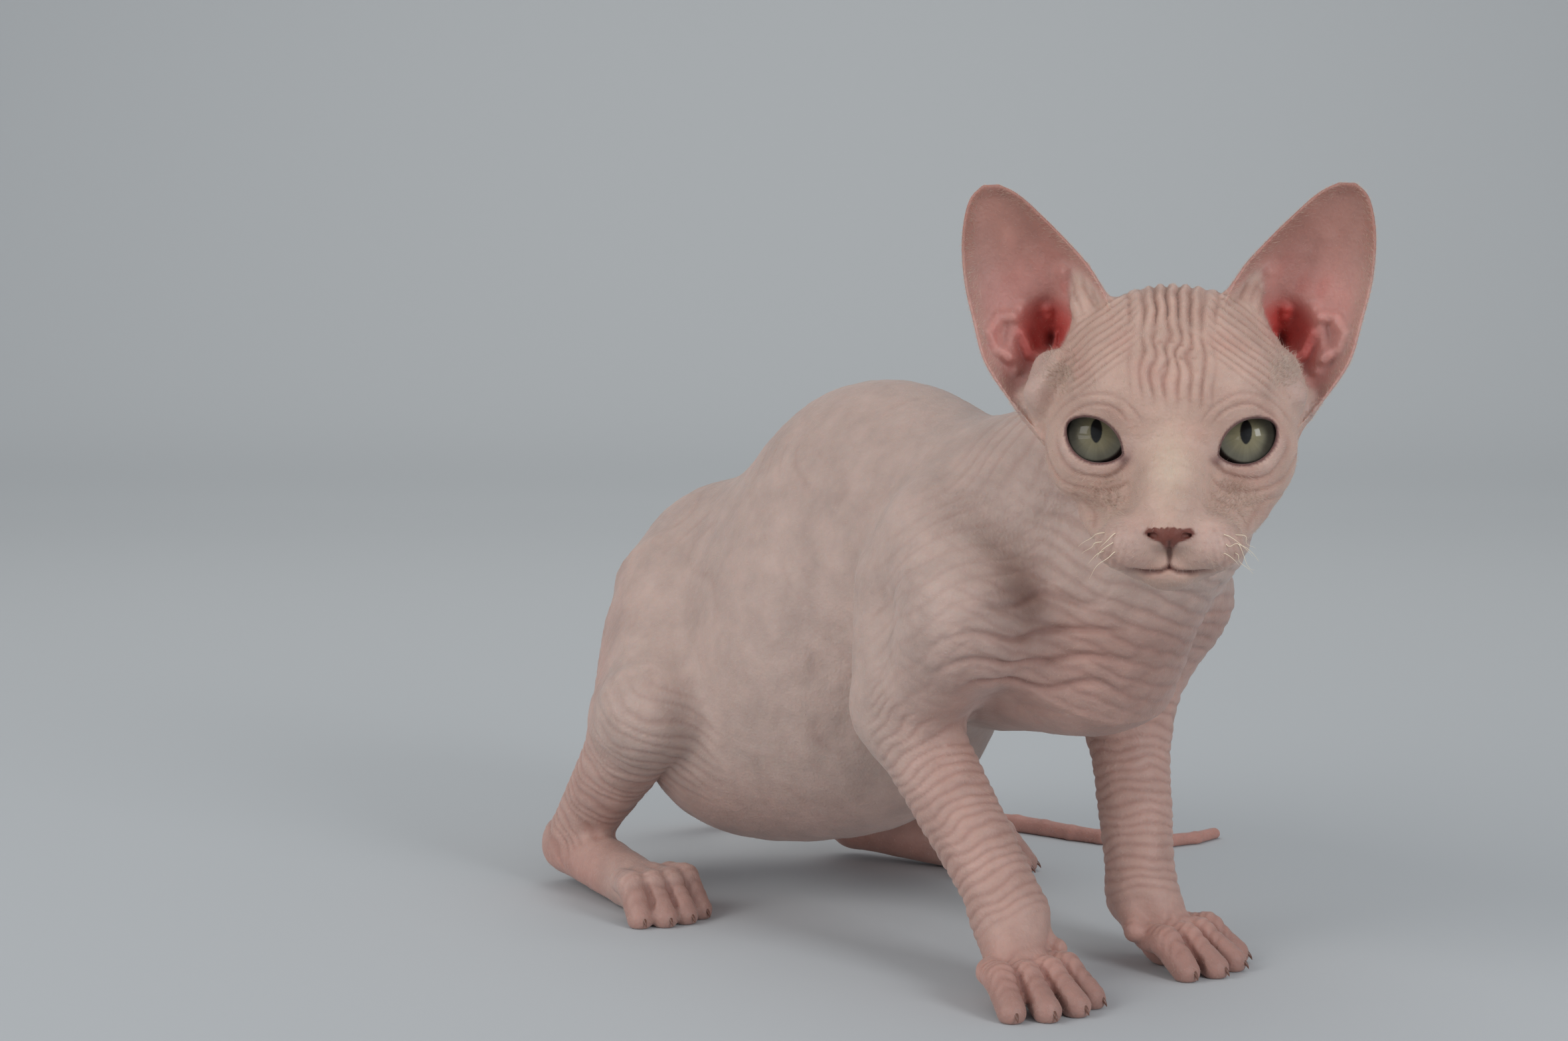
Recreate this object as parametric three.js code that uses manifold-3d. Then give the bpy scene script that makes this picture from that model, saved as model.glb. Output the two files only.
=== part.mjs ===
// A sphynx kitten at life size, standing low on four feet, belly near the floor, head turned to its right.
// Millimetres, +Z up, floor at z = 0. The body faces -Y and the animal's left side is +X.
// The flesh is one smooth field of rounded cones and ellipsoids, meshed by regions and parted by thin cuts.
import * as THREE from "three";
import { MarchingCubes } from "three/addons/objects/MarchingCubes.js";
import { mergeVertices } from "three/addons/utils/BufferGeometryUtils.js";
import Module from "manifold-3d";

const wasm = await Module();
wasm.setup();

// Driving dimensions, in millimetres.
const GAP = 0.3; // width of every parting cut
const HEAD_AT = [-21.9, -109.8, 141.4]; // point between the two eyes
const HEAD_YAW = 46.5; // degrees the face turns to the animal's right
const HEAD_LIFT = 3.1; // degrees the face looks up
const EYE = { x: 17.4, y: 9.6, z: 0, radius: 8.6 };
const LID = 1.5; // thickness of the lids over the eyeball
const SKULL_HALF_WIDTH = 28.5;
const EAR_SHIFT = -1.6; // both ears sit this far to the animal's right
const EAR_SHEET = 1.7;
const TAIL_ROOT_RADIUS = 6.2;
const TAIL_TIP_RADIUS = 1.9;
const CLAW_LENGTH = 4.4;
const CLAW_RADIUS = 0.85;
const CENTRE = [43, 10, 0]; // middle of the finished outline, moved to the origin
const CELL = { head: 5.2, neck: 13, trunk: 14, leg: 9, shank: 6.2, foot: 4.3, parting: 14 }; // facet sizes

const rad = THREE.MathUtils.degToRad;
const mix = (a, b, t) => a + (b - a) * t;
const mix3 = (p, q, t) => [mix(p[0], q[0], t), mix(p[1], q[1], t), mix(p[2], q[2], t)];

// Signed distances: negative inside.
function cone(a, ra, b, rb) {
  const d = [b[0] - a[0], b[1] - a[1], b[2] - a[2]];
  const len2 = d[0] * d[0] + d[1] * d[1] + d[2] * d[2];
  const slope = (ra - rb) / Math.sqrt(len2);
  return (x, y, z) => {
    const px = x - a[0], py = y - a[1], pz = z - a[2];
    const along = (px * d[0] + py * d[1] + pz * d[2]) / len2;
    const rx = px - d[0] * along, ry = py - d[1] * along, rz = pz - d[2] * along;
    const away = Math.sqrt(rx * rx + ry * ry + rz * rz);
    const t = Math.min(1, Math.max(0, along + (slope * away) / Math.sqrt(len2 * (1 - slope * slope))));
    const qx = px - d[0] * t, qy = py - d[1] * t, qz = pz - d[2] * t;
    return Math.sqrt(qx * qx + qy * qy + qz * qz) - mix(ra, rb, t);
  };
}
function ellipsoid(c, r, yaw = 0, pitch = 0) {
  const cy = Math.cos(rad(yaw)), sy = Math.sin(rad(yaw));
  const cp = Math.cos(rad(pitch)), sp = Math.sin(rad(pitch));
  return (x, y, z) => {
    const px = x - c[0], py = y - c[1], pz = z - c[2];
    const ux = px * cy + py * sy, uy = py * cy - px * sy;
    const a = ux, b = uy * cp + pz * sp, e = pz * cp - uy * sp;
    const k0 = Math.hypot(a / r[0], b / r[1], e / r[2]);
    const k1 = Math.hypot(a / (r[0] * r[0]), b / (r[1] * r[1]), e / (r[2] * r[2]));
    return k1 < 1e-9 ? -Math.min(...r) : (k0 * (k0 - 1)) / k1;
  };
}
function blend(a, b, k) {
  const h = Math.max(k - Math.abs(a - b), 0) / k;
  return Math.min(a, b) - h * h * k * 0.25;
}
const union = (k, list) => (x, y, z) => {
  let d = list[0](x, y, z);
  for (let i = 1; i < list.length; i++) d = blend(d, list[i](x, y, z), k);
  return d;
};

// The head in its own frame: x to the animal's left, y from the eyes to the back of the skull, z up.
const headTurn = new THREE.Matrix4()
  .makeTranslation(...HEAD_AT)
  .multiply(new THREE.Matrix4().makeRotationZ(rad(-HEAD_YAW)))
  .multiply(new THREE.Matrix4().makeRotationX(rad(-HEAD_LIFT)));
const headBack = headTurn.clone().invert();
const headPoint = (x, y, z) => new THREE.Vector3(x, y, z).applyMatrix4(headTurn).toArray();

const sideOfHead = union(5, [
  ellipsoid([18.6, 15, -3], [11.2, 16, 13.5]), // cheek under the eye
  ellipsoid([9, 3, 11], [14, 11, 12]), // brow
  ellipsoid([EYE.x, EYE.y, EYE.z], [EYE.radius + LID, EYE.radius + LID, EYE.radius + LID]), // lids
  cone([15, 12, -14], 9.5, [5, -2, -26], 7.5), // jaw
]);
const pad = ellipsoid([8.4, -8.6, -24.2], [8.8, 9.8, 7]); // whisker pad
const headCore = union(6, [
  ellipsoid([0, 24, 12.5], [SKULL_HALF_WIDTH, 30, 24.6]), // braincase
  cone([0, 5, -3], 11.5, [0, -11, -17], 7.6), // bridge of the nose
]);
const nose = ellipsoid([0, -16.2, -21.6], [5.1, 4.7, 3.7]);
const chin = ellipsoid([0, -7.5, -30], [7.2, 7.4, 5.2]);
const earRoot = union(4, [
  cone([24.6, 10.5, 17.5], 3.4, [30, 13.5, 10], 4), // the lobe before the opening of the ear
  cone([30, 13.5, 10], 4, [28.2, 17, 3], 3),
  cone([27, 19, 16], 5, [30.5, 22, 8], 4.5),
]);
function headField(x, y, z) {
  const ax = Math.abs(x);
  let d = blend(headCore(x, y, z), sideOfHead(ax, y, z), 7);
  d = blend(d, pad(ax, y, z), 3.5);
  d = blend(d, earRoot(Math.abs(x - EAR_SHIFT), y, z), 3);
  d = blend(d, nose(x, y, z), 2);
  return blend(d, chin(x, y, z), 2.2);
}

// Trunk and neck.
const trunk = union(15, [
  ellipsoid([2, -24, 99], [32, 54, 40]), // ribs
  ellipsoid([3, 40, 74], [44, 50, 54]), // belly
  ellipsoid([-5, 66, 50], [39, 36, 34]), // low back of the belly
  ellipsoid([6, 24, 108], [33, 52, 43]), // loin
  ellipsoid([2, 84, 84], [32, 44, 36]), // rump
  cone([2, 108, 84], 13, [4, 130, 66], TAIL_ROOT_RADIUS + 1), // root of the tail
]);
const neck = union(10, [
  cone([9, -77, 142], 21, [4, -38, 114], 30),
  cone([0, -88, 116], 16, [3, -62, 88], 25),
  cone([10, -84, 118], 17, [25, -62, 105], 17), // slack skin on the far side of the throat
]);

// A foot: a flat wrist or ankle, and four toes fanned about the way it points.
function foot({ wrist, wristRadius, ball, points, width, toe, dew }) {
  const list = [cone(wrist, wristRadius, ball, toe.ball)];
  const across = [Math.cos(rad(points)), Math.sin(rad(points))];
  const toes = [];
  for (let i = 0; i < 4; i++) {
    const u = (i - 1.5) / 1.5;
    const turn = rad(points + u * toe.fan);
    const dir = [Math.sin(turn), -Math.cos(turn)];
    const reach = toe.length * (1 - 0.22 * u * u);
    const at = (along, height) => [
      ball[0] + across[0] * u * width + dir[0] * along,
      ball[1] + across[1] * u * width + dir[1] * along,
      height,
    ];
    const knuckle = at(reach * 0.42, toe.knuckle);
    const tip = at(reach, toe.radius * 0.6);
    list.push(cone(at(-2, toe.knuckle), toe.radius * 0.94, knuckle, toe.radius));
    list.push(cone(knuckle, toe.radius, tip, toe.radius * 0.92));
    toes.push({ tip, dir });
  }
  if (dew) list.push(cone(dew[0], 4, dew[1], 2.8));
  return { field: union(1.8, list), toes, ball };
}
const FORE_TOE = { length: 17, radius: 3.9, knuckle: 8.4, ball: 7.6, fan: 17 };
const HIND_TOE = { length: 14, radius: 3.9, knuckle: 10.4, ball: 7.4, fan: 9 };

// Each leg: its joints from the trunk to the ankle with the flesh radius at each, and its foot.
const LEGS = {
  fore_right: {
    line: [[-24, -30, 112], [-33, -52, 94], [-30, -25, 66], [-25, -61, 19]],
    radii: [15, 16, 11.8, 9],
    flesh: cone([-27, -22, 100], 14, [-30, -22, 72], 12.5),
    foot: foot({
      wrist: [-27, -60, 19], wristRadius: 8.8, ball: [-32, -71, 6.6], points: -6, width: 8.4, toe: FORE_TOE,
      dew: [[-21, -64, 13], [-18, -69, 11]],
    }),
  },
  fore_left: {
    line: [[26, -30, 112], [35, -54, 95], [34, -42, 62], [24, -58, 17]],
    radii: [15, 17, 11, 8.8],
    flesh: cone([28, -24, 100], 13, [33, -36, 72], 12),
    foot: foot({
      wrist: [24, -58, 17], wristRadius: 8.6, ball: [25, -67, 6.6], points: 12, width: 8.4, toe: FORE_TOE,
      dew: [[17, -62, 12], [13, -66, 10]],
    }),
  },
  hind_right: {
    line: [[-18, 88, 80], [-47, 66, 57], [-47, 107, 13]],
    radii: [25, 14, 8],
    flesh: cone([-24, 96, 70], 17, [-43, 80, 55], 13),
    foot: foot({
      wrist: [-47, 107, 11.5], wristRadius: 8.4, ball: [-52, 60, 6.4], points: -4, width: 8, toe: HIND_TOE,
    }),
  },
  hind_left: {
    line: [[24, 90, 80], [58, 56, 54], [42, 84, 13]],
    radii: [25, 14, 8],
    flesh: cone([30, 96, 70], 17, [52, 72, 54], 13),
    foot: foot({
      wrist: [42, 82, 11.5], wristRadius: 8.4, ball: [61, 46, 6.4], points: 33, width: 8, toe: HIND_TOE,
    }),
  },
};
for (const leg of Object.values(LEGS)) {
  const bone = (i) => cone(leg.line[i], leg.radii[i], leg.line[i + 1], leg.radii[i + 1]);
  const last = leg.line.length - 2;
  const flesh = union(6, [leg.flesh, ...Array.from({ length: last + 1 }, (_, i) => bone(i))]);
  leg.field = (x, y, z) => blend(flesh(x, y, z), leg.foot.field(x, y, z), 4);
}
const legs = Object.values(LEGS).map((leg) => leg.field);

const toHead = headBack.elements;
function headInPlace(x, y, z) {
  const m = toHead;
  return headField(
    m[0] * x + m[4] * y + m[8] * z + m[12],
    m[1] * x + m[5] * y + m[9] * z + m[13],
    m[2] * x + m[6] * y + m[10] * z + m[14],
  );
}
const torso = (x, y, z) => blend(blend(trunk(x, y, z), neck(x, y, z), 14), headInPlace(x, y, z), 9);
function body(x, y, z) {
  let d = torso(x, y, z);
  const melt = mix(0.5, 8, THREE.MathUtils.smoothstep(z, 36, 60)); // shins only pass the belly
  for (const leg of legs) d = blend(d, leg(x, y, z), melt);
  return d;
}

// Manifold solids from three geometry.
function solid(geometry) {
  const g = mergeVertices(new THREE.BufferGeometry()
    .setAttribute("position", (geometry.index ? geometry.toNonIndexed() : geometry).attributes.position), 1e-3);
  const made = new wasm.Manifold(
    new wasm.Mesh({
      numProp: 3,
      vertProperties: Float32Array.from(g.attributes.position.array),
      triVerts: Uint32Array.from(g.index.array),
    }),
  );
  return made;
}
// Meshes the inside of a field, within a box, with marching cubes.
function meshed(field, [low, high], cell, level = 0) {
  const span = Math.max(...high.map((v, i) => v - low[i])) + 4 * cell;
  const n = Math.ceil(span / cell) + 1;
  const mid = low.map((v, i) => (v + high[i]) / 2);
  const cubes = new MarchingCubes(n, new THREE.MeshStandardMaterial(), false, false, 80000);
  const near = 0.08 * cell; // keeps the surface off the grid's corners, where it would leave needles
  for (let k = 0; k < n; k++)
    for (let j = 0; j < n; j++)
      for (let i = 0; i < n; i++) {
        const p = [i, j, k].map((v, a) => mid[a] + (v - n / 2) * cell);
        const inside = p.every((v, a) => v >= low[a] && v <= high[a]);
        let f = inside ? -field(...p) : -cell;
        if (Math.abs(f) < near) f = f < 0 ? -near : near;
        cubes.field[(k * n + j) * n + i] = Math.max(f, -2 * cell) + level;
      }
  cubes.isolation = 0;
  cubes.update();
  const xyz = cubes.positionArray.slice(0, cubes.count * 3);
  for (let i = 0; i < xyz.length; i++) xyz[i] = mid[i % 3] + (xyz[i] * n * cell) / 2;
  return solid(new THREE.BufferGeometry().setAttribute("position", new THREE.BufferAttribute(xyz, 3)));
}
// A thin disc of the gap's width, square to a direction, to part two pieces.
function slit(centre, along, radius) {
  const turn = new THREE.Quaternion().setFromUnitVectors(
    new THREE.Vector3(0, 1, 0), new THREE.Vector3(...along).normalize());
  const disc = new THREE.CylinderGeometry(radius, radius, GAP, 24).applyQuaternion(turn);
  return solid(disc.translate(...centre));
}
const beside = (p, s) => wasm.Manifold.cube([s, s, s], true).translate(p);
// The one piece of a solid that holds a point.
function piece(all, point) {
  const found = all.decompose().find((b) => !b.intersect(beside(point, 0.4)).isEmpty());
  if (!found) throw new Error("no piece at " + point.map((v) => v.toFixed(1)));
  return found;
}
const floor = solid(new THREE.BoxGeometry(600, 600, 100).translate(0, 0, -50));

const COLOURS = { skin: 0xc9a499, ear: 0xd0908c, eye: 0x7f8a6b, claw: 0x4a3a30 };
const group = new THREE.Group();
function add(name, body3, colour, loss = 0.12) {
  const got = body3.simplify(loss).translate(CENTRE.map((v) => -v)).getMesh();
  const xyz = new Float32Array(got.numVert * 3);
  for (let i = 0; i < got.numVert; i++)
    for (let a = 0; a < 3; a++) xyz[3 * i + a] = got.vertProperties[i * got.numProp + a];
  const geometry = new THREE.BufferGeometry();
  geometry.setAttribute("position", new THREE.BufferAttribute(xyz, 3));
  geometry.setIndex(new THREE.BufferAttribute(Uint32Array.from(got.triVerts), 1));
  geometry.computeVertexNormals();
  const mesh = new THREE.Mesh(geometry, new THREE.MeshStandardMaterial({ color: colour, roughness: 0.7 }));
  mesh.name = name;
  group.add(mesh);
}

// Claws: small curved horns sunk in the tips of the toes.
function claw({ tip, dir }, grow) {
  const rings = 2, sides = 5, xyz = [], faces = [];
  const out = new THREE.Vector3(dir[0], dir[1], 0), up = new THREE.Vector3(0, 0, 1);
  const side = new THREE.Vector3().crossVectors(out, up);
  const root = new THREE.Vector3(...tip).addScaledVector(out, 1.6).addScaledVector(up, 0.9);
  for (let i = 0; i <= rings; i++) {
    const t = i / rings, bend = t * 1.25;
    const mid = root.clone().addScaledVector(out, CLAW_LENGTH * (Math.sin(bend) / 1.25))
      .addScaledVector(up, (CLAW_LENGTH * (Math.cos(bend) - 1)) / 1.25);
    if (grow) mid.addScaledVector(out, t * grow * 0.5 - (1 - t) * grow);
    const radius = CLAW_RADIUS * (1 - 0.72 * t) + grow;
    const lift = up.clone().multiplyScalar(Math.cos(bend)).addScaledVector(out, Math.sin(bend));
    for (let j = 0; j < sides; j++) {
      const a = (2 * Math.PI * j) / sides;
      const wide = radius * Math.cos(a) * 0.8, high = radius * Math.sin(a);
      xyz.push(mid.clone().addScaledVector(side, wide).addScaledVector(lift, high));
    }
  }
  for (let i = 0; i < rings; i++)
    for (let j = 0; j < sides; j++) {
      const a = i * sides + j, b = i * sides + ((j + 1) % sides), c = a + sides, d = b + sides;
      faces.push(a, c, b, b, c, d);
    }
  for (let j = 1; j + 1 < sides; j++) {
    faces.push(0, j, j + 1);
    const last = rings * sides;
    faces.push(last, last + j + 1, last + j);
  }
  const g = new THREE.BufferGeometry();
  g.setAttribute("position", new THREE.Float32BufferAttribute(xyz.flatMap((v) => v.toArray()), 3));
  g.setIndex(faces);
  const made = solid(g);
  return made.volume() < 0 ? solid(flipped(g)) : made;
}
function flipped(g) {
  const index = Array.from(g.index.array);
  for (let i = 0; i < index.length; i += 3) [index[i + 1], index[i + 2]] = [index[i + 2], index[i + 1]];
  return g.clone().setIndex(index);
}

// Legs: each is parted from the trunk along the surface halfway between the two, then at its joints.
const REACH = {
  fore_right: [[-70, -114, -12], [10, 16, 146]],
  fore_left: [[-8, -114, -12], [72, 16, 146]],
  hind_right: [[-86, 22, -12], [12, 144, 128]],
  hind_left: [[-8, 8, -12], [98, 144, 128]],
};
const JOINT_CUT = { fore: 0.3, hind: 0.5 }; // how far down the shin the knee or elbow is parted
const trunkBox = [[-70, -120, 6], [80, 146, 172]];
let torsoSolid = meshed(body, trunkBox, CELL.trunk);
const legSides = []; // what lies on the legs' side of their partings
for (const [name, leg] of Object.entries(LEGS)) {
  const fore = name.startsWith("fore");
  const parting = (x, y, z) => leg.field(x, y, z) - torso(x, y, z) + 2;
  legSides.push(meshed(parting, REACH[name], CELL.parting, GAP));
  const own = meshed(parting, REACH[name], CELL.parting, -GAP);
  const line = leg.line;
  const knee = line[line.length - 2], ankle = line[line.length - 1];
  const shin = new THREE.Vector3(...ankle).sub(new THREE.Vector3(...knee));
  const kneeCut = slit(mix3(knee, ankle, fore ? JOINT_CUT.fore : JOINT_CUT.hind), shin.toArray(), 18);
  const sole = new THREE.Vector3(...leg.foot.ball).sub(new THREE.Vector3(...ankle)).normalize();
  const crease = shin.clone().normalize().addScaledVector(sole, fore ? 0.4 : 0.97); // splits the ankle's angle
  const ankleCut = slit(mix3(knee, ankle, fore ? 0.86 : 1), crease.toArray(), fore ? 14 : 26);
  const coarse = meshed(body, REACH[name], CELL.leg).intersect(own).subtract(kneeCut).subtract(ankleCut);
  const shank = meshed(leg.field, REACH[name], CELL.shank).intersect(own).subtract(kneeCut).subtract(ankleCut);
  const upperSeed = mix3(line[line.length - 3], knee, 0.7);
  add(`${name}_upper`, piece(coarse, upperSeed), COLOURS.skin);
  add(`${name}_lower`, piece(shank, mix3(knee, ankle, 0.6)), COLOURS.skin);
  const [low, high] = REACH[name];
  const pawBox = [low, [high[0], high[1], 40]];
  let paw = meshed(leg.field, pawBox, CELL.foot).subtract(ankleCut).subtract(floor);
  paw = piece(paw, mix3(ankle, leg.foot.toes[1].tip, 0.6));
  leg.foot.toes.forEach((toe, i) => {
    paw = paw.subtract(claw(toe, GAP));
    add(`${name}_claw_${i + 1}`, claw(toe, 0), COLOURS.claw);
  });
  add(`${name}_foot`, paw, COLOURS.skin);
}

// The trunk in three, the neck and the head.
const neckCut = slit([3, -59, 107], [0, -0.84, 0.54], 66);
const chestCut = slit([3, 10, 90], [0, 1, 0], 90);
const rumpCut = slit([3, 66, 85], [0, 1, 0], 90);
const headCut = solid(new THREE.CylinderGeometry(46, 46, GAP, 24).rotateX(Math.PI / 2 + Math.atan2(0.77, 0.64))
  .translate(0, 31, -15).applyMatrix4(headTurn));
for (const side of legSides) torsoSolid = torsoSolid.subtract(side);
const parted = torsoSolid.subtract(neckCut).subtract(chestCut).subtract(rumpCut).subtract(headCut);
add("chest", piece(parted, [3, -20, 100]), COLOURS.skin);
add("belly", piece(parted, [3, 40, 85]), COLOURS.skin);
add("rump", piece(parted, [3, 88, 90]), COLOURS.skin);
let neckSolid = meshed(body, [[-60, -125, 40], [70, 0, 178]], CELL.neck).subtract(neckCut).subtract(headCut);
for (const side of legSides) neckSolid = neckSolid.subtract(side);
add("neck", piece(neckSolid, headPoint(0, 42, -20)), COLOURS.skin);

// Ears: thin hollow leaves between an inner and an outer edge drawn on the face's plane (x, z).
const EAR_INNER = [[11, 27], [15.4, 36], [19, 41.6], [24, 47.2], [29.5, 52.8], [36.2, 58.8], [41, 61.3]];
const EAR_OUTER = [
  [28, -2], [37.5, 9.5], [43.4, 18.5], [46, 27.5], [48.6, 39], [49, 50], [47.2, 58], [44.4, 61],
];
const earEdge = (points) => new THREE.CatmullRomCurve3(points.map(([x, z]) => new THREE.Vector3(x, 0, z)));
const earInner = earEdge(EAR_INNER), earOuter = earEdge(EAR_OUTER);
function earPoint(up, across) {
  const p = earInner.getPoint(up).lerp(earOuter.getPoint(up), across);
  const b = 2 * across - 1;
  const hollow = (0.2 + 16 * (1 - up) ** 0.95) * (1 - b * b) ** 0.75;
  p.y = mix(16, 22, up) + 4 * across * (1 - up) + hollow;
  return p;
}
function earSheet() {
  const ups = 8, acrosses = 6, xyz = [], faces = [];
  const at = (i, j) => i * (acrosses + 1) + j, back = (ups + 1) * (acrosses + 1);
  const layers = [[], []];
  for (let i = 0; i <= ups; i++)
    for (let j = 0; j <= acrosses; j++) {
      const up = (0.985 * i) / ups, across = 0.5 - 0.5 * Math.cos((Math.PI * j) / acrosses);
      const p = earPoint(up, across), e = 0.01;
      const du = earPoint(Math.min(up + e, 0.99), across).sub(earPoint(Math.max(up - e, 0), across));
      const dv = earPoint(up, Math.min(across + e, 1)).sub(earPoint(up, Math.max(across - e, 0)));
      const n = new THREE.Vector3().crossVectors(du, dv).normalize();
      if (n.y < 0) n.negate();
      layers[0].push(p.clone().addScaledVector(n, -EAR_SHEET / 2));
      layers[1].push(p.clone().addScaledVector(n, EAR_SHEET / 2));
    }
  for (const layer of layers) for (const p of layer) xyz.push(p.x, p.y, p.z);
  const quad = (a, b, c, d) => faces.push(a, b, c, a, c, d);
  for (let i = 0; i < ups; i++)
    for (let j = 0; j < acrosses; j++) {
      quad(at(i, j), at(i, j + 1), at(i + 1, j + 1), at(i + 1, j));
      quad(back + at(i, j), back + at(i + 1, j), back + at(i + 1, j + 1), back + at(i, j + 1));
    }
  for (let i = 0; i < ups; i++) {
    quad(at(i, 0), at(i + 1, 0), back + at(i + 1, 0), back + at(i, 0));
    quad(at(i + 1, acrosses), at(i, acrosses), back + at(i, acrosses), back + at(i + 1, acrosses));
  }
  for (let j = 0; j < acrosses; j++) {
    quad(at(0, j + 1), at(0, j), back + at(0, j), back + at(0, j + 1));
    quad(at(ups, j), at(ups, j + 1), back + at(ups, j + 1), back + at(ups, j));
  }
  const g = new THREE.BufferGeometry();
  g.setAttribute("position", new THREE.Float32BufferAttribute(xyz, 3));
  g.setIndex(faces);
  const made = solid(g);
  return made.volume() < 0 ? solid(flipped(g)) : made;
}

// Eyes: round balls seen through almond openings between the lids.
function almond() {
  const s = new THREE.Shape();
  s.moveTo(11.2, -3.8);
  s.bezierCurveTo(11.4, 0.9, 15.2, 4.7, 19.8, 4.7);
  s.bezierCurveTo(22.2, 4.7, 24.1, 4, 24.3, 2);
  s.bezierCurveTo(24.5, -1.9, 21.4, -5.9, 16.6, -5.9);
  s.bezierCurveTo(14.3, -5.9, 12.4, -5.2, 11.2, -3.8);
  return solid(new THREE.ExtrudeGeometry(s, { depth: 30, bevelEnabled: false, curveSegments: 6 })
    .rotateX(Math.PI / 2).translate(0, EYE.y - 2, 0));
}
const ball = (radius) => solid(new THREE.IcosahedronGeometry(radius, 2).translate(EYE.x, EYE.y, EYE.z));
const turned = (s) => s.transform(Array.from(headTurn.elements));
const otherSide = (s) => s.mirror([1, 0, 0]);

const headSolid = meshed(headless, [[-70, -150, 88], [60, -30, 196]], CELL.head).subtract(headCut);
function headless(x, y, z) {
  return blend(blend(headInPlace(x, y, z), neck(x, y, z), 9), trunk(x, y, z), 9);
}
let head = piece(headSolid, headPoint(0, 20, 10));
const hole = ball(EYE.radius + GAP).add(almond());
const ear = earSheet();
for (const [side, name] of [[(s) => s, "left"], [otherSide, "right"]]) {
  head = head.subtract(turned(side(hole)));
  add(`eye_${name}`, turned(side(ball(EYE.radius))), COLOURS.eye, 0.02);
}
const scalp = meshed(headless, [[-70, -150, 88], [60, -30, 196]], CELL.head, GAP);
for (const [side, name] of [[(s) => s, "left"], [otherSide, "right"]]) {
  const whole = turned(side(ear).translate([EAR_SHIFT, 0, 0])).subtract(scalp);
  const tip = earPoint(0.8, 0.5);
  add(`ear_${name}`, piece(whole, turnedPoint(tip, name)), COLOURS.ear, 0.05);
}
function turnedPoint(p, name) {
  return headPoint(name === "left" ? p.x : -p.x, p.y, p.z);
}
add("head", head, COLOURS.skin);

// The tail lies along the floor in lengths parted by thin cuts.
const TAIL = [[4, 118, 80], [5, 138, 58], [14, 146, 30], [42, 143, 7.5], [78, 122, 3], [107, 84, 2.4],
  [117, 48, 2], [133, 32, 1.7], [151, 33, 1.5]];
const TAIL_LENGTHS = 5;
const tailCurve = new THREE.CatmullRomCurve3(TAIL.map((p) => new THREE.Vector3(...p)));
const tailRadius = (t) => mix(TAIL_ROOT_RADIUS, TAIL_TIP_RADIUS, t ** 0.8);
function tailSolid() {
  const steps = 22, sides = 6, g = new THREE.TubeGeometry(tailCurve, steps, 1, sides, false);
  const at = g.attributes.position, centre = [];
  for (let i = 0; i <= steps; i++) {
    const t = i / steps, mid = tailCurve.getPointAt(t);
    centre.push(mid);
    for (let j = 0; j <= sides; j++) {
      const v = new THREE.Vector3().fromBufferAttribute(at, i * (sides + 1) + (j % sides));
      v.sub(mid).setLength(tailRadius(t)).add(mid);
      at.setXYZ(i * (sides + 1) + j, v.x, v.y, v.z);
    }
  }
  const index = Array.from(g.index.array), xyz = Array.from(at.array);
  for (const [i, mid, turn] of [[0, centre[0], 1], [steps, centre[steps], -1]]) {
    const pole = xyz.length / 3;
    const reach = -turn * tailRadius(i / steps) * 0.7;
    const away = tailCurve.getTangentAt(i / steps).multiplyScalar(reach).add(mid);
    xyz.push(away.x, away.y, away.z);
    for (let j = 0; j < sides; j++) {
      const a = i * (sides + 1) + j, b = a + 1;
      index.push(...(turn > 0 ? [pole, a, b] : [pole, b, a]));
    }
  }
  const closed = new THREE.BufferGeometry();
  closed.setAttribute("position", new THREE.Float32BufferAttribute(xyz, 3));
  closed.setIndex(index);
  const made = solid(closed);
  return made.volume() < 0 ? solid(flipped(closed)) : made;
}
let tail = tailSolid().subtract(floor).subtract(meshed(body, trunkBox, CELL.trunk, GAP));
const partAt = (i) => 0.16 + (0.84 * i) / TAIL_LENGTHS;
for (let i = 1; i < TAIL_LENGTHS; i++) {
  const t = partAt(i);
  tail = tail.subtract(slit(tailCurve.getPointAt(t).toArray(), tailCurve.getTangentAt(t).toArray(), 14));
}
for (let i = 0; i < TAIL_LENGTHS; i++)
  add(`tail_${i + 1}`, piece(tail, tailCurve.getPointAt(partAt(i + 0.5)).toArray()), COLOURS.skin, 0.05);

export default group;
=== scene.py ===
# %% [markdown]
# A sphynx kitten at life size, crouching with its head turned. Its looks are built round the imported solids.
# All shapes are written in millimetres on the kitten's own skeleton, and moved to the part's frame in
# metres at the end.

import bpy
import math
import numpy as np
import openvdb
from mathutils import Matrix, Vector


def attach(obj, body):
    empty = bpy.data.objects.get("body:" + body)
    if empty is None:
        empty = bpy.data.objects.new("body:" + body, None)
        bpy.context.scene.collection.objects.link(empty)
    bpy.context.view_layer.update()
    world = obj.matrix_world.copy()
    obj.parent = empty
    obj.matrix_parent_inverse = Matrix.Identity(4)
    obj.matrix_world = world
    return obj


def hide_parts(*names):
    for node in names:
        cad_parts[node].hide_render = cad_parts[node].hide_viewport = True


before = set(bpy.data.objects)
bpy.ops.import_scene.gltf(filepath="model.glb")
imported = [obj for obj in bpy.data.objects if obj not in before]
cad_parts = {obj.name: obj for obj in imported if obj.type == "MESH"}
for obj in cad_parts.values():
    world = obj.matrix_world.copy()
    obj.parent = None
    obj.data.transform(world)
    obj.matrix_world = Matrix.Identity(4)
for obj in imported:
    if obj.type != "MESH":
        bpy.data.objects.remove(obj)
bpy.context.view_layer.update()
CENTRE = np.array([43.0, 10.0, 0.0])  # middle of the outline, which the part's frame has at its origin
MM = 0.001

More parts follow.
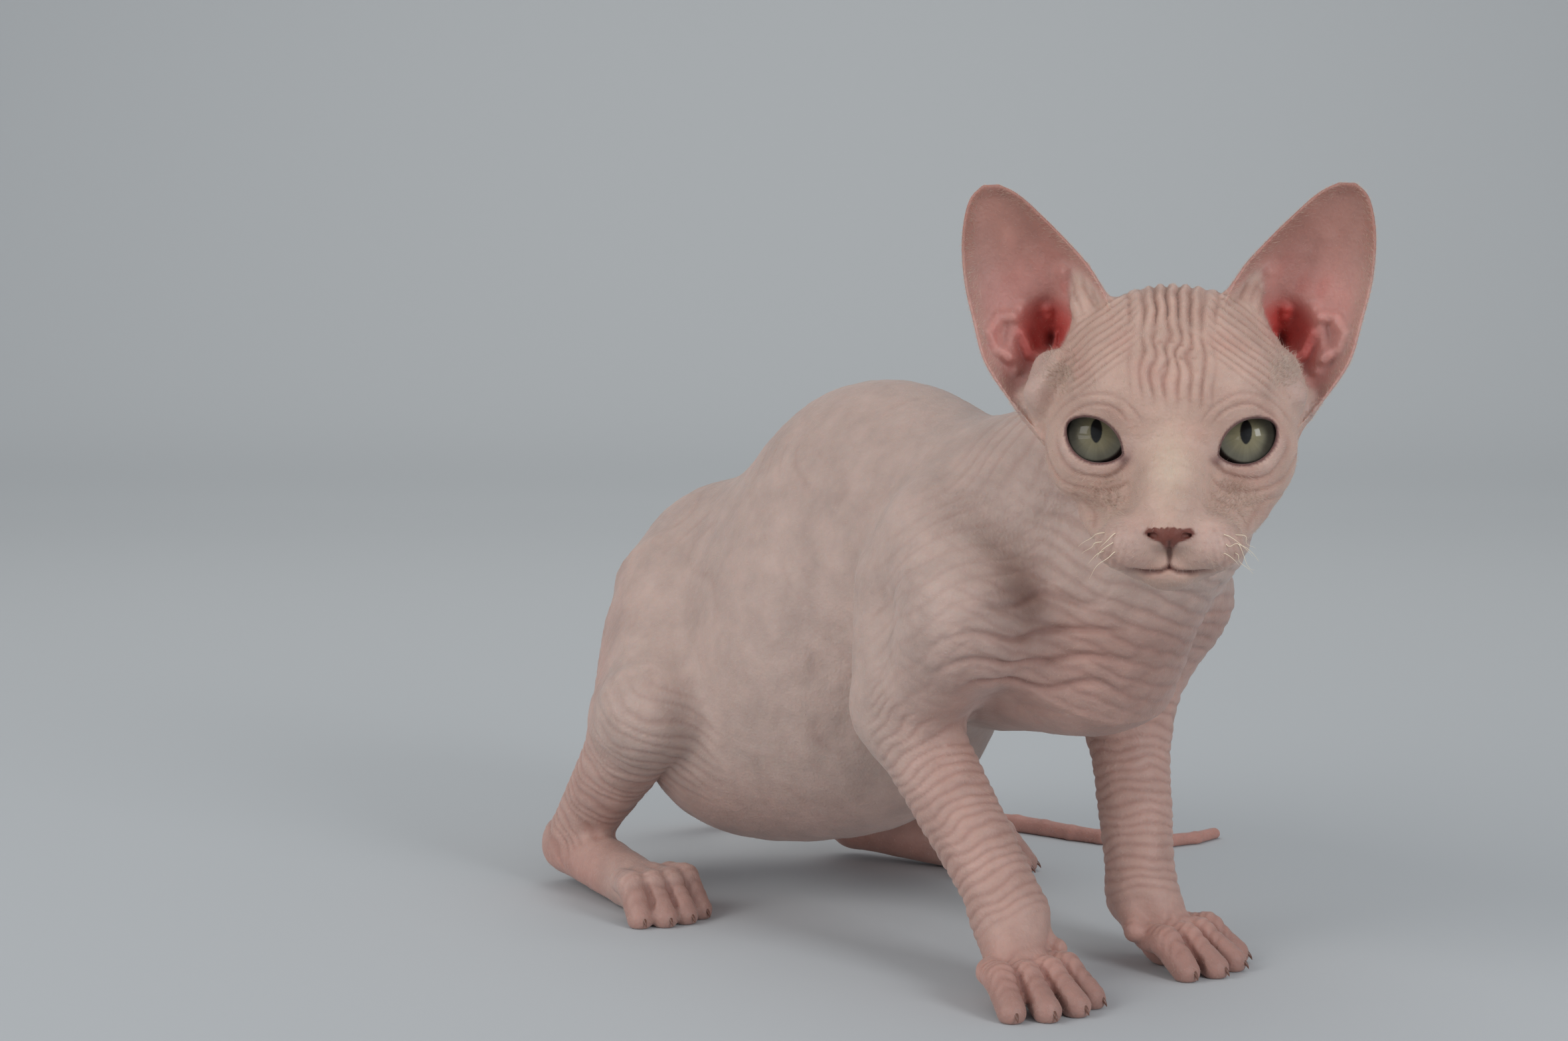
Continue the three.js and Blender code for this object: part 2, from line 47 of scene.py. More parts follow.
# %% [markdown]
# The camera comes first, because every later look is judged through it. It stands low at the kitten's right
# front, about 0.6 m from the eyes, and looks slightly down.

# %% Camera
VIEW_TURN, VIEW_DOWN = math.radians(38), math.radians(5)
CAMERA_AT = (np.array([-465.6, -530.9, 175.0]) - CENTRE) * MM
camera_data = bpy.data.cameras.new("camera")
camera_data.sensor_width = 36
camera_data.lens = 59.5
camera_data.clip_start = 0.01
camera = bpy.data.objects.new("camera", camera_data)
camera.location = CAMERA_AT
camera.rotation_euler = (math.pi / 2 - VIEW_DOWN, 0, -VIEW_TURN)
bpy.context.scene.collection.objects.link(camera)
bpy.context.scene.camera = camera
print("camera at", CAMERA_AT.round(3))

# %% [markdown]
# Flesh has no flat faces and no corners, so it is written as a distance field: rounded cones for limbs and
# ellipsoids for the big masses, melted together. A field can be blended, carved and measured before it is a
# mesh.

# %% Field shapes
def cone(a, ra, b, rb):
    a, b = np.array(a, np.float32), np.array(b, np.float32)
    d = b - a
    len2 = float(d @ d)
    slope = (ra - rb) / math.sqrt(len2)
    lean = slope / math.sqrt(len2 * (1 - slope * slope))

    def field(x, y, z):
        px, py, pz = x - a[0], y - a[1], z - a[2]
        along = (px * d[0] + py * d[1] + pz * d[2]) / len2
        away = np.sqrt((px - d[0] * along) ** 2 + (py - d[1] * along) ** 2 + (pz - d[2] * along) ** 2)
        t = np.clip(along + lean * away, 0, 1)
        reach = np.sqrt((px - d[0] * t) ** 2 + (py - d[1] * t) ** 2 + (pz - d[2] * t) ** 2)
        return reach - (ra + (rb - ra) * t)

    return field


def ellipsoid(c, r):
    def field(x, y, z):
        px, py, pz = x - c[0], y - c[1], z - c[2]
        k0 = np.sqrt((px / r[0]) ** 2 + (py / r[1]) ** 2 + (pz / r[2]) ** 2)
        k1 = np.sqrt((px / r[0] ** 2) ** 2 + (py / r[1] ** 2) ** 2 + (pz / r[2] ** 2) ** 2)
        return k0 * (k0 - 1) / np.maximum(k1, 1e-6)

    return field


def melt(a, b, k):
    h = np.maximum(k - np.abs(a - b), 0) / k
    return np.minimum(a, b) - h * h * k * 0.25


def carve(a, b, k):
    return -melt(-a, b, k)


def together(k, fields):
    def field(x, y, z):
        d = fields[0](x, y, z)
        for f in fields[1:]:
            d = melt(d, f(x, y, z), k)
        return d

    return field


def ramp(v, low, high):
    t = np.clip((v - low) / (high - low), 0, 1)
    return t * t * (3 - 2 * t)


# %% [markdown]
# The head has its own frame: x to the kitten's left, y from the eyes to the back of the skull, z up. The
# face can then be drawn as it is seen, and the whole head turned afterwards.

# %% Head frame
HEAD_AT = np.array([-21.9, -109.8, 141.4])
HEAD_YAW, HEAD_LIFT = math.radians(46.5), math.radians(3.1)
cy, sy, cl, sl = math.cos(HEAD_YAW), math.sin(HEAD_YAW), math.cos(HEAD_LIFT), math.sin(HEAD_LIFT)
yaw_turn = np.array([[cy, sy, 0], [-sy, cy, 0], [0, 0, 1]])
lift_turn = np.array([[1, 0, 0], [0, cl, sl], [0, -sl, cl]])
HEAD_TURN = yaw_turn @ lift_turn


def to_head(x, y, z):
    px, py, pz = x - HEAD_AT[0], y - HEAD_AT[1], z - HEAD_AT[2]
    m = HEAD_TURN.astype(np.float32)
    return tuple(m[0, i] * px + m[1, i] * py + m[2, i] * pz for i in range(3))


def from_head(points):
    return np.asarray(points, float) @ HEAD_TURN.T + HEAD_AT


EYE_X, EYE_Y, EYE_RADIUS, LID = 17.4, 9.6, 8.6, 1.5
SKULL_HALF_WIDTH = 28.5
EAR_SHIFT = -1.6  # both ears lie this far towards the right side of the head
side_of_head = together(5, [
    ellipsoid([18.6, 15, -3], [11.2, 16, 13.5]),  # cheek under the eye
    ellipsoid([9, 3, 11], [14, 11, 12]),  # brow
    ellipsoid([EYE_X, EYE_Y, 0], [EYE_RADIUS + LID] * 3),  # lids
    cone([15, 12, -14], 9.5, [5, -2, -26], 7.5),  # jaw
])
whisker_pad = ellipsoid([8.4, -8.6, -24.2], [8.8, 9.8, 7])
skull = together(6, [
    ellipsoid([0, 24, 12.5], [SKULL_HALF_WIDTH, 30, 24.6]),  # braincase
    cone([0, 5, -3], 11.5, [0, -11, -17], 7.6),  # bridge of the nose
])
nose = ellipsoid([0, -16.2, -21.6], [5.1, 4.7, 3.7])
chin = ellipsoid([0, -7.5, -30], [7.2, 7.4, 5.2])
ear_root = together(4, [
    cone([24.6, 10.5, 17.5], 3.3, [29, 13.5, 10.5], 3.5),  # the lobe before the opening of the ear
    cone([29, 13.5, 10.5], 3.5, [28, 17, 3], 2.8),
    cone([27, 19, 16], 5, [30.5, 22, 8], 4.5),
    cone([18.9, 15.5, 22], 3.6, [19, 20.5, 32], 3.1),  # the inner edge where it meets the scalp
    cone([19, 20.5, 32], 3.1, [19.8, 23.5, 41], 1.7),
])


def smooth_head(hx, hy, hz):
    ax = np.abs(hx)
    d = melt(skull(hx, hy, hz), side_of_head(ax, hy, hz), 7)
    d = melt(d, whisker_pad(ax, hy, hz), 3.5)
    d = melt(d, ear_root(np.abs(hx - EAR_SHIFT), hy, hz), 3)
    d = melt(d, nose(hx, hy, hz), 2)
    return melt(d, chin(hx, hy, hz), 2.2)


print("head centre", HEAD_AT)

# %% [markdown]
# An ear is a thin cupped leaf. Seen from the face it lies between an inner and an outer edge, so it is kept
# as a small map over that plane: how far back the leaf lies at each place, and how far inside the outline
# that place is.

# %% Smooth curves through points
def curve_through(points, steps):
    p = np.asarray(points, float)
    p = np.vstack([2 * p[0] - p[1], p, 2 * p[-1] - p[-2]])
    out = []
    spans = len(p) - 3
    for s in np.linspace(0, spans, steps):
        i = min(int(s), spans - 1)
        t, q = s - i, p[i : i + 4]
        k = [max(np.linalg.norm(q[j + 1] - q[j]) ** 0.5, 1e-4) for j in range(3)]
        m1 = ((q[1] - q[0]) / k[0] - (q[2] - q[0]) / (k[0] + k[1]) + (q[2] - q[1]) / k[1]) * k[1]
        m2 = ((q[2] - q[1]) / k[1] - (q[3] - q[1]) / (k[1] + k[2]) + (q[3] - q[2]) / k[2]) * k[1]
        c2, c3 = -3 * q[1] + 3 * q[2] - 2 * m1 - m2, 2 * q[1] - 2 * q[2] + m1 + m2
        out.append(q[1] + m1 * t + c2 * t * t + c3 * t**3)
    return np.array(out)


def line_distance(px, pz, points):
    best = np.full(np.shape(px), 1e9)
    for (ax, az), (bx, bz) in zip(points[:-1], points[1:]):
        dx, dz = bx - ax, bz - az
        t = np.clip(((px - ax) * dx + (pz - az) * dz) / (dx * dx + dz * dz + 1e-12), 0, 1)
        best = np.minimum(best, np.hypot(px - ax - dx * t, pz - az - dz * t))
    return best


def inside_outline(px, pz, points):
    inside = np.zeros(np.shape(px), bool)
    for (ax, az), (bx, bz) in zip(points, np.roll(points, -1, 0)):
        if az != bz:
            inside ^= ((az > pz) != (bz > pz)) & (px < (bx - ax) * (pz - az) / (bz - az) + ax)
    return inside


# %% [markdown]
# The ear could be sculpted by hand. Here its two edges are drawn as the photo shows them, a cupped leaf is
# laid between them, and the leaf's depth is written into the map. Folds of gristle are then added to the
# map as ridges and pits: the bowl over the canal, the flap along the inner edge and the small pocket on the
# outer edge.

# %% Ear map
EAR_INNER = [[11, 27], [15.4, 36], [19, 41.6], [24, 47.2], [29.5, 52.8], [36.2, 58.8], [41, 61.3]]
EAR_OUTER = [[28, -2], [37.5, 9.5], [43.4, 18.5], [46, 27.5], [48.6, 39], [49, 50], [47.2, 58], [44.4, 61]]
EAR_STEP, EAR_X0, EAR_Z0 = 0.25, 2.0, -12.0
UPS, ACROSSES = 360, 260  # steps along the ear and from edge to edge
ups, acrosses = np.linspace(0, 1, UPS), np.linspace(0, 1, ACROSSES)
inner_edge, outer_edge = curve_through(EAR_INNER, UPS), curve_through(EAR_OUTER, UPS)
leaf = inner_edge[:, None] + (outer_edge - inner_edge)[:, None] * acrosses[None, :, None]
U, A = np.meshgrid(ups, acrosses, indexing="ij")
CUP_DEPTH = 16
cup = (0.2 + CUP_DEPTH * (1 - U) ** 0.95) * np.maximum(1 - (2 * A - 1) ** 2, 0) ** 0.75
back = 16 + 6 * U + 4 * A * (1 - U) + cup
SHAPE = (232, 320)
cell_x = np.clip(((leaf[..., 0] - EAR_X0) / EAR_STEP).round().astype(int), 0, SHAPE[0] - 1)
cell_z = np.clip(((leaf[..., 1] - EAR_Z0) / EAR_STEP).round().astype(int), 0, SHAPE[1] - 1)


def splat(values):
    total, count = np.zeros(SHAPE), np.zeros(SHAPE)
    np.add.at(total, (cell_x, cell_z), values)
    np.add.at(count, (cell_x, cell_z), 1)
    known = count > 0
    out = np.where(known, total / np.maximum(count, 1), 0)
    weight = known.astype(float)
    for _ in range(26):  # spread the edge's values outwards
        near_sum = sum(np.roll(out * weight, s, a) for s in (1, -1) for a in (0, 1))
        near_weight = sum(np.roll(weight, s, a) for s in (1, -1) for a in (0, 1))
        fill = (weight == 0) & (near_weight > 0)
        out[fill] = (near_sum / np.maximum(near_weight, 1e-9))[fill]
        weight[fill] = 1
    return out


ear_back, ear_up = splat(back), splat(U)
map_x, map_z = [start + EAR_STEP * np.arange(n) for start, n in zip((EAR_X0, EAR_Z0), SHAPE)]
MX, MZ = np.meshgrid(map_x, map_z, indexing="ij")
rim = np.vstack([inner_edge, outer_edge[::-1]])[::6]
rim = np.vstack([rim, inner_edge[:1]])
ear_rim = line_distance(MX, MZ, rim)
ear_rim = np.where(inside_outline(MX, MZ, rim), -ear_rim, ear_rim)


def bump(points, width, height):  # a ridge towards the viewer, or a pit where the height is negative
    return -height * np.exp(-((line_distance(MX, MZ, points) / width) ** 2))


EAR_FOLDS = [  # line on the face's plane, width, height towards the viewer
    ([(28.9, 29.5), (28.6, 27)], 4.6, -4.6),  # the bowl above the canal
    ([(28.2, 23.6), (28.0, 24.6)], 2.0, -4.5),  # the canal
    ([(22.8, 20), (22.6, 30), (24.6, 40)], 2.0, 2.6),  # flap along the inner edge
    ([(24.8, 20.6), (28.6, 18.6), (33, 20.6), (35.2, 25.4)], 1.5, 2.6),  # lip under the bowl
    ([(26.6, 25.6), (27.0, 22.4)], 0.8, 1.8),  # thin ridge beside the canal
    ([(36.4, 16.5), (38.2, 20.5), (37.4, 26), (35.6, 31.5)], 1.5, 1.7),  # ridge before the pocket
    ([(34.5, 8), (32.6, 12.5), (30.4, 15.6)], 2.6, 3.0),  # the small lobe before the canal
    ([(37.6, 19.5), (41.0, 21.4), (42.6, 25.4), (40.4, 29.2), (37.4, 29.6)], 1.5, 2.3),  # rim of the pocket
    ([(28.8, 30.2), (28.9, 31.4)], 1.6, 2.2),  # the round swelling in the bowl
    ([(33, 35), (36.5, 41), (38, 48)], 2.4, 0.7),  # low ribs that run up the leaf
    ([(28, 38), (32, 45)], 2.0, 0.5),
]
ear_back = ear_back + sum(bump(*fold) for fold in EAR_FOLDS)
gx, gz = np.gradient(ear_back, EAR_STEP)
ear_lean = 1 / np.sqrt(1 + np.minimum(gx * gx + gz * gz, 14))


def look_up(table, u, w, x0=EAR_X0, z0=EAR_Z0, step=EAR_STEP):
    i, j = (u - x0) / step, (w - z0) / step
    i, j = np.clip(i, 0, table.shape[0] - 1.001), np.clip(j, 0, table.shape[1] - 1.001)
    a, b = i.astype(np.int32), j.astype(np.int32)
    s, t = i - a, j - b
    return ((table[a, b] * (1 - s) + table[a + 1, b] * s) * (1 - t)
            + (table[a, b + 1] * (1 - s) + table[a + 1, b + 1] * s) * t).astype(np.float32)


EAR_HALF_TIP, EAR_HALF_MORE = 0.62, 0.35  # half the leaf's thickness at its tip, and what its foot has more
EAR_EDGE = 0.35  # the flesh reaches this far past the drawn edge


def ear_field(hx, hy, hz):
    u = np.abs(hx - EAR_SHIFT)
    half = EAR_HALF_TIP + EAR_HALF_MORE * (1 - look_up(ear_up, u, hz))
    sheet = np.abs(hy - look_up(ear_back, u, hz)) * look_up(ear_lean, u, hz) - half
    edge = look_up(ear_rim, u, hz) - EAR_EDGE
    beyond = np.hypot(np.maximum(EAR_X0 - u, 0), np.maximum(EAR_Z0 + 2 - hz, 0)) + np.maximum(hz - 66, 0)
    return carve(sheet, -edge, 0.5) + beyond


print("ear map", SHAPE, "depth of cup", round(float(cup.max()), 1), "mm")

# %% [markdown]
# The lids are a ball of flesh a little larger than the eye, opened by an almond. The opening is drawn once
# as an outline and kept as a map too, which later gives the dark rim of the lids for free.

# %% Eye opening
def bezier(p0, p1, p2, p3, steps=14):
    t = np.linspace(0, 1, steps)[:-1, None]
    p0, p1, p2, p3 = map(np.array, (p0, p1, p2, p3))
    return (1 - t) ** 3 * p0 + 3 * t * (1 - t) ** 2 * p1 + 3 * t * t * (1 - t) * p2 + t**3 * p3


ALMOND = np.vstack([
    bezier((11.2, -3.8), (11.4, 0.9), (15.2, 4.7), (19.8, 4.7)),
    bezier((19.8, 4.7), (22.2, 4.7), (24.1, 4), (24.3, 2)),
    bezier((24.3, 2), (24.5, -1.9), (21.4, -5.9), (16.6, -5.9)),
    bezier((16.6, -5.9), (14.3, -5.9), (12.4, -5.2), (11.2, -3.8)),
])
LID_X0, LID_Z0, LID_STEP, LID_SPAN = 0.0, -20.0, 0.2, 40
lid_x, lid_z = [np.arange(start, start + LID_SPAN, LID_STEP) for start in (LID_X0, LID_Z0)]
LX, LZ = np.meshgrid(lid_x, lid_z, indexing="ij")
closed = np.vstack([ALMOND, ALMOND[:1]])
lid_map = line_distance(LX, LZ, closed)
lid_map = np.where(inside_outline(LX, LZ, ALMOND), -lid_map, lid_map)
nostril = together(0.6, [cone([2.2, -21.4, -23.3], 0.5, [3.3, -19.2, -22.2], 0.75),
                         cone([3.3, -19.2, -22.2], 0.75, [4.8, -17.2, -21.8], 0.4)])


SOCKET_GAP = 0.12  # between the eyeball and the inside of the lids


def lid_edge(hx, hz):
    return look_up(lid_map, np.abs(hx), hz, LID_X0, LID_Z0, LID_STEP)


def head_field(hx, hy, hz):
    ax = np.abs(hx)
    d = smooth_head(hx, hy, hz)
    ball = np.sqrt((ax - EYE_X) ** 2 + (hy - EYE_Y) ** 2 + hz**2)
    d = carve(d, np.maximum(lid_edge(hx, hz), hy - (EYE_Y - 2)), 0.9)
    d = carve(d, ball - EYE_RADIUS - SOCKET_GAP, 0.3)
    d = carve(d, nostril(ax, hy, hz), 0.5)
    return melt(d, ear_field(hx, hy, hz), 3.2)


print("almond", len(ALMOND), "points")

# %% [markdown]
# Trunk, neck, tail and legs use the same numbers as the solids, so the skin lies on them. A kitten's round
# belly and low chest are a few overlapping ellipsoids, and the thin tail is one bent, tapering tube.

# %% Trunk, neck and tail
trunk = together(15, [
    ellipsoid([2, -24, 99], [32, 54, 40]), ellipsoid([3, 40, 74], [44, 50, 54]),
    ellipsoid([-5, 66, 50], [39, 36, 34]), ellipsoid([6, 24, 108], [33, 52, 43]),
    ellipsoid([2, 84, 84], [32, 44, 36]), cone([2, 108, 84], 13, [4, 130, 66], 7.2),  # root of the tail
])
neck = together(10, [
    cone([9, -77, 142], 21, [4, -38, 114], 30), cone([0, -88, 116], 16, [3, -62, 88], 25),
    cone([10, -84, 118], 17, [25, -62, 105], 17),
])
TAIL = [[4, 118, 80], [5, 138, 58], [14, 146, 30], [42, 143, 7.5], [78, 122, 3], [107, 84, 2.4], [117, 48, 2],
        [133, 32, 1.7], [151, 33, 1.5]]
tail_line = curve_through(TAIL, 400)
tail_run = np.concatenate([[0], np.cumsum(np.linalg.norm(np.diff(tail_line, axis=0), axis=1))])
TAIL_SPANS = 25
TAIL_ROOT_RADIUS, TAIL_TIP_RADIUS, TAIL_TAPER = 6.2, 1.9, 0.8
tail_knots = np.array([[np.interp(s, tail_run, tail_line[:, a]) for a in range(3)]
                       for s in np.linspace(0, tail_run[-1], TAIL_SPANS + 1)])
thinner = np.linspace(0, 1, TAIL_SPANS + 1) ** TAIL_TAPER
tail_radii = TAIL_ROOT_RADIUS + (TAIL_TIP_RADIUS - TAIL_ROOT_RADIUS) * thinner
tail = together(1.0, [cone(tail_knots[i], tail_radii[i], tail_knots[i + 1], tail_radii[i + 1])
                      for i in range(TAIL_SPANS)])

# %% [markdown]
# A leg is a chain of rounded cones from hip or shoulder to ankle, with one more for the muscle above it.
# Feet could be modelled toe by toe, but all sixteen toes are alike, so one function fans four of them about
# any palm.

# %% Legs and feet
FORE_TOE = {"length": 17, "radius": 3.9, "knuckle": 8.4, "ball": 7.6, "fan": 17}
HIND_TOE = {"length": 14, "radius": 3.9, "knuckle": 10.4, "ball": 7.4, "fan": 9}


def foot(wrist, wrist_radius, ball, points, width, toe, dew=None):
    parts, toes = [cone(wrist, wrist_radius, ball, toe["ball"])], []
    across = (math.cos(math.radians(points)), math.sin(math.radians(points)))
    for i in range(4):
        u = (i - 1.5) / 1.5
        turn = math.radians(points + u * toe["fan"])
        way = (math.sin(turn), -math.cos(turn))
        reach = toe["length"] * (1 - 0.22 * u * u)

        def at(along, height):
            return [ball[0] + across[0] * u * width + way[0] * along,
                    ball[1] + across[1] * u * width + way[1] * along, height]

        knuckle, tip = at(reach * 0.42, toe["knuckle"]), at(reach, toe["radius"] * 0.6)
        parts.append(cone(at(-2, toe["knuckle"]), toe["radius"] * 0.94, knuckle, toe["radius"]))
        parts.append(cone(knuckle, toe["radius"], tip, toe["radius"] * 0.92))
        toes.append((np.array(tip), np.array([way[0], way[1], 0.0]), np.array(knuckle)))
    if dew:
        parts.append(cone(dew[0], 4, dew[1], 2.8))
    return together(1.25, parts), toes


LEGS = {
    "fore_right": dict(
        line=[[-24, -30, 112], [-33, -52, 94], [-30, -25, 66], [-25, -61, 19]], radii=[15, 16, 11.8, 9],
        flesh=cone([-27, -22, 100], 14, [-30, -22, 72], 12.5),
        foot=foot([-27, -60, 19], 8.8, [-32, -71, 6.6], -6, 8.4, FORE_TOE, [[-21, -64, 13], [-18, -69, 11]])),
    "fore_left": dict(
        line=[[26, -30, 112], [35, -54, 95], [34, -42, 62], [24, -58, 17]], radii=[15, 17, 11, 8.8],
        flesh=cone([28, -24, 100], 13, [33, -36, 72], 12),
        foot=foot([24, -58, 17], 8.6, [25, -67, 6.6], 12, 8.4, FORE_TOE, [[17, -62, 12], [13, -66, 10]])),
    "hind_right": dict(
        line=[[-18, 88, 80], [-47, 66, 57], [-47, 107, 13]], radii=[25, 14, 8],
        flesh=cone([-24, 96, 70], 17, [-43, 80, 55], 13),
        foot=foot([-47, 107, 11.5], 8.4, [-52, 60, 6.4], -4, 8, HIND_TOE)),
    "hind_left": dict(
        line=[[24, 90, 80], [58, 56, 54], [42, 84, 13]], radii=[25, 14, 8],
        flesh=cone([30, 96, 70], 17, [52, 72, 54], 13),
        foot=foot([42, 82, 11.5], 8.4, [61, 46, 6.4], 33, 8, HIND_TOE)),
}
for leg in LEGS.values():
    line, radii = leg["line"], leg["radii"]
    bones = [cone(line[i], radii[i], line[i + 1], radii[i + 1]) for i in range(len(line) - 1)]
    leg["flesh_field"] = together(6, [leg["flesh"]] + bones)
    reach = np.array(line + [t[0].tolist() for t in leg["foot"][1]])
    leg["low"], leg["high"] = reach.min(0) - 34, reach.max(0) + 34


def only_near(field, low, high, x, y, z, far=30.0):
    near = (x > low[0]) & (x < high[0]) & (y > low[1]) & (y < high[1]) & (z > low[2]) & (z < high[2])
    out = np.full(x.shape, far, np.float32)
    if near.any():
        out[near] = field(x[near], y[near], z[near])
    return out


def leg_field(leg):
    def field(x, y, z):
        return melt(leg["flesh_field"](x, y, z), leg["foot"][0](x, y, z), 4)

    return lambda x, y, z: only_near(field, leg["low"], leg["high"], x, y, z)


leg_fields = [leg_field(leg) for leg in LEGS.values()]
print("legs", list(LEGS), "tail", round(float(tail_run[-1])), "mm long")

# %% [markdown]
# Real skin runs unbroken from nose to tail. Separate pieces would show seams, so all the shapes are melted
# into one field. The widths of the melts are the softness of each join, from the wide one at the neck to
# almost none where the shins only pass the belly.

# %% The whole skin as one field
def skin_field(x, y, z):
    d = melt(trunk(x, y, z), neck(x, y, z), 14)
    head = only_near(lambda *p: head_field(*to_head(*p)), (-80, -150, 84), (62, -28, 215), x, y, z)
    d = melt(d, head, 9)
    shins_pass = 0.5 + 7.5 * ramp(z, 36, 60)  # below the belly the shins only pass it
    for field in leg_fields:
        d = melt(d, field(x, y, z), shins_pass)
    d = melt(d, only_near(tail, (-14, 104, -6), (166, 166, 96), x, y, z), 3)
    d = melt(d, only_near(tail, (60, 10, -6), (166, 166, 30), x, y, z), 0.01)
    return carve(d, z, 0.5)


# %% [markdown]
# The field becomes a mesh on a grid that is twice as fine where the head and ears are. Only cells near the
# surface are worked out. After meshing, each point is pulled onto the true surface, which takes the grid's
# steps away.

# %% Mesh the skin
BLOCK = 8  # grid steps along the side of one block


def marks(low, fine_low, fine_high, high, fine, coarse):
    steps = [np.arange(low, fine_low, coarse), np.arange(fine_low, fine_high, fine),
             np.arange(fine_high, high + BLOCK * coarse, coarse)]
    got = np.concatenate(steps)
    return got[: len(got) // BLOCK * BLOCK].reshape(-1, BLOCK)


COARSE = 0.9
FINE = 0.5
GX = marks(-70, -60, 35, 156, FINE, COARSE)
GY = marks(-136, -134, -44, 155, FINE, COARSE)
GZ = marks(-3, 90, 205, 206, FINE, COARSE * 0.85)
FAR = 5.0  # the field is cut off at this distance
CHUNK = 1500  # blocks worked out at a time


def field_grid():
    n = [len(g) for g in (GX, GY, GZ)]
    mids = [g.mean(1) for g in (GX, GY, GZ)]
    widths = [g[:, -1] - g[:, 0] for g in (GX, GY, GZ)]
    mx, my, mz = [m.astype(np.float32).ravel() for m in np.meshgrid(*mids, indexing="ij")]
    wx, wy, wz = [w.ravel() for w in np.meshgrid(*widths, indexing="ij")]
    rough = skin_field(mx, my, mz)
    near = np.nonzero(np.abs(rough) < 0.75 * np.sqrt(wx**2 + wy**2 + wz**2) + 3)[0]
    sign = np.where(rough > 0, FAR, -FAR).astype(np.float32).reshape(n)
    grid = sign.repeat(BLOCK, 0).repeat(BLOCK, 1).repeat(BLOCK, 2)
    bi, bj, bk = np.unravel_index(near, n)
    for s in range(0, len(near), CHUNK):
        i, j, k = bi[s : s + CHUNK], bj[s : s + CHUNK], bk[s : s + CHUNK]
        x = GX[i][:, :, None, None] + np.zeros((1, 1, BLOCK, BLOCK))
        y = GY[j][:, None, :, None] + np.zeros((1, BLOCK, 1, BLOCK))
        z = GZ[k][:, None, None, :] + np.zeros((1, BLOCK, BLOCK, 1))
        f = skin_field(*[v.astype(np.float32).ravel() for v in np.broadcast_arrays(x, y, z)])
        f = np.clip(f, -FAR, FAR).reshape(-1, BLOCK, BLOCK, BLOCK)
        for q in range(len(i)):
            at = tuple(slice(c * BLOCK, (c + 1) * BLOCK) for c in (i[q], j[q], k[q]))
            grid[at] = f[q]
    print("grid", grid.shape, "blocks", len(near))
    return grid


def mesh_of(grid):
    volume = openvdb.FloatGrid(FAR)
    volume.copyFromArray(grid)
    points, quads = volume.convertToQuads()
    points = np.stack([np.interp(points[:, a], np.arange(g.size), g.ravel())
                       for a, g in enumerate((GX, GY, GZ))], 1)
    return points, quads.astype(np.int64)


def largest_body(points, quads):
    label = np.arange(len(points))
    edges = np.vstack([quads[:, [0, 1]], quads[:, [1, 2]], quads[:, [2, 3]]])
    for _ in range(400):
        low = np.minimum(label[edges[:, 0]], label[edges[:, 1]])
        new = label.copy()
        np.minimum.at(new, edges[:, 0], low)
        np.minimum.at(new, edges[:, 1], low)
        new = new[new]
        if (new == label).all():
            break
        label = new
    main = np.bincount(label).argmax()
    keep = label == main
    number = np.cumsum(keep) - 1
    return points[keep], number[quads[keep[quads[:, 0]]]]


CORNERS = np.array([[1, 1, 1], [1, -1, -1], [-1, 1, -1], [-1, -1, 1]], np.float32)


def value_and_slope(p, e=0.06):
    values = [skin_field(*(p + e * c).astype(np.float32).T) for c in CORNERS]
    slope = sum(c[None] * v[:, None] for c, v in zip(CORNERS, values)) / (4 * e)
    return sum(values) / 4, slope


points, quads = largest_body(*mesh_of(field_grid()))
for _ in range(2):
    value, slope = value_and_slope(points)
    size2 = np.maximum((slope**2).sum(1), 0.2)
    points = points - np.clip(value / size2, -0.5, 0.5)[:, None] * slope
_, slope = value_and_slope(points, 0.2)
normals = slope / np.maximum(np.linalg.norm(slope, axis=1), 1e-6)[:, None]
print("skin points", len(points), "quads", len(quads))

# %% [markdown]
# Bare skin is known by its folds. They are drawn as families of creases: a number that counts folds across
# the skin, bent by slow waves so that no line is straight, with a narrow valley at each whole number. Each
# family has its own region, such as rings down the forearms or upright furrows on the forehead.

# %% Fold tools
def wander(p, length, seed):
    draw = np.random.default_rng(seed)
    total = np.zeros(len(p))
    for _ in range(6):
        way = draw.normal(size=3)
        way *= 2 * math.pi / length / np.linalg.norm(way) * draw.uniform(0.6, 1.4)
        total += np.sin(p @ way + draw.uniform(0, 6.28))
    return total / 3.0


def valley(count, width):
    return np.exp(-((np.abs(count - np.round(count)) / width) ** 2))


# folds keeps the height of each fold and how much painted shade its valley gets
folds = {"height": np.zeros(len(points)), "crease": np.zeros(len(points))}


# painted shade: marks where a valley is painted darker, for the shade that falls in it
def paint_shade(mask):
    folds["crease"] = np.maximum(folds["crease"], mask)


# pushes a family of folds into the skin and marks each valley for painted shade
def press_and_shade(count, region, depth, width=0.2, puff=0.35):
    v = valley(count, width)
    folds["height"] += region * depth * (puff * (1 - v) - v)
    paint_shade(region * v * min(1.0, depth * 2.2))


hx, hy, hz = [v.astype(float) for v in to_head(*points.T.astype(np.float32))]
ax = np.abs(hx)
ear_u = np.abs(hx - EAR_SHIFT)
rim_gap = look_up(ear_rim, ear_u, hz)  # negative inside the ear's outline
off_head = smooth_head(*[v.astype(np.float32) for v in (hx, hy, hz)])
head_part = ramp(-off_head, -5.0, -1.5)
ear_part = (rim_gap < 1.2) * (hz > 2) * (hy < 60) * ramp(off_head, 0.3, 2.5)
face_part = head_part * (1 - ear_part)

# %% [markdown]
# The forehead has upright furrows that tangle in the middle, and slanting ones that rise towards them from
# both sides. Rings run round the eyes, and the cheek is pinched in behind the whisker pad. Each family gets
# its own count and its own region.

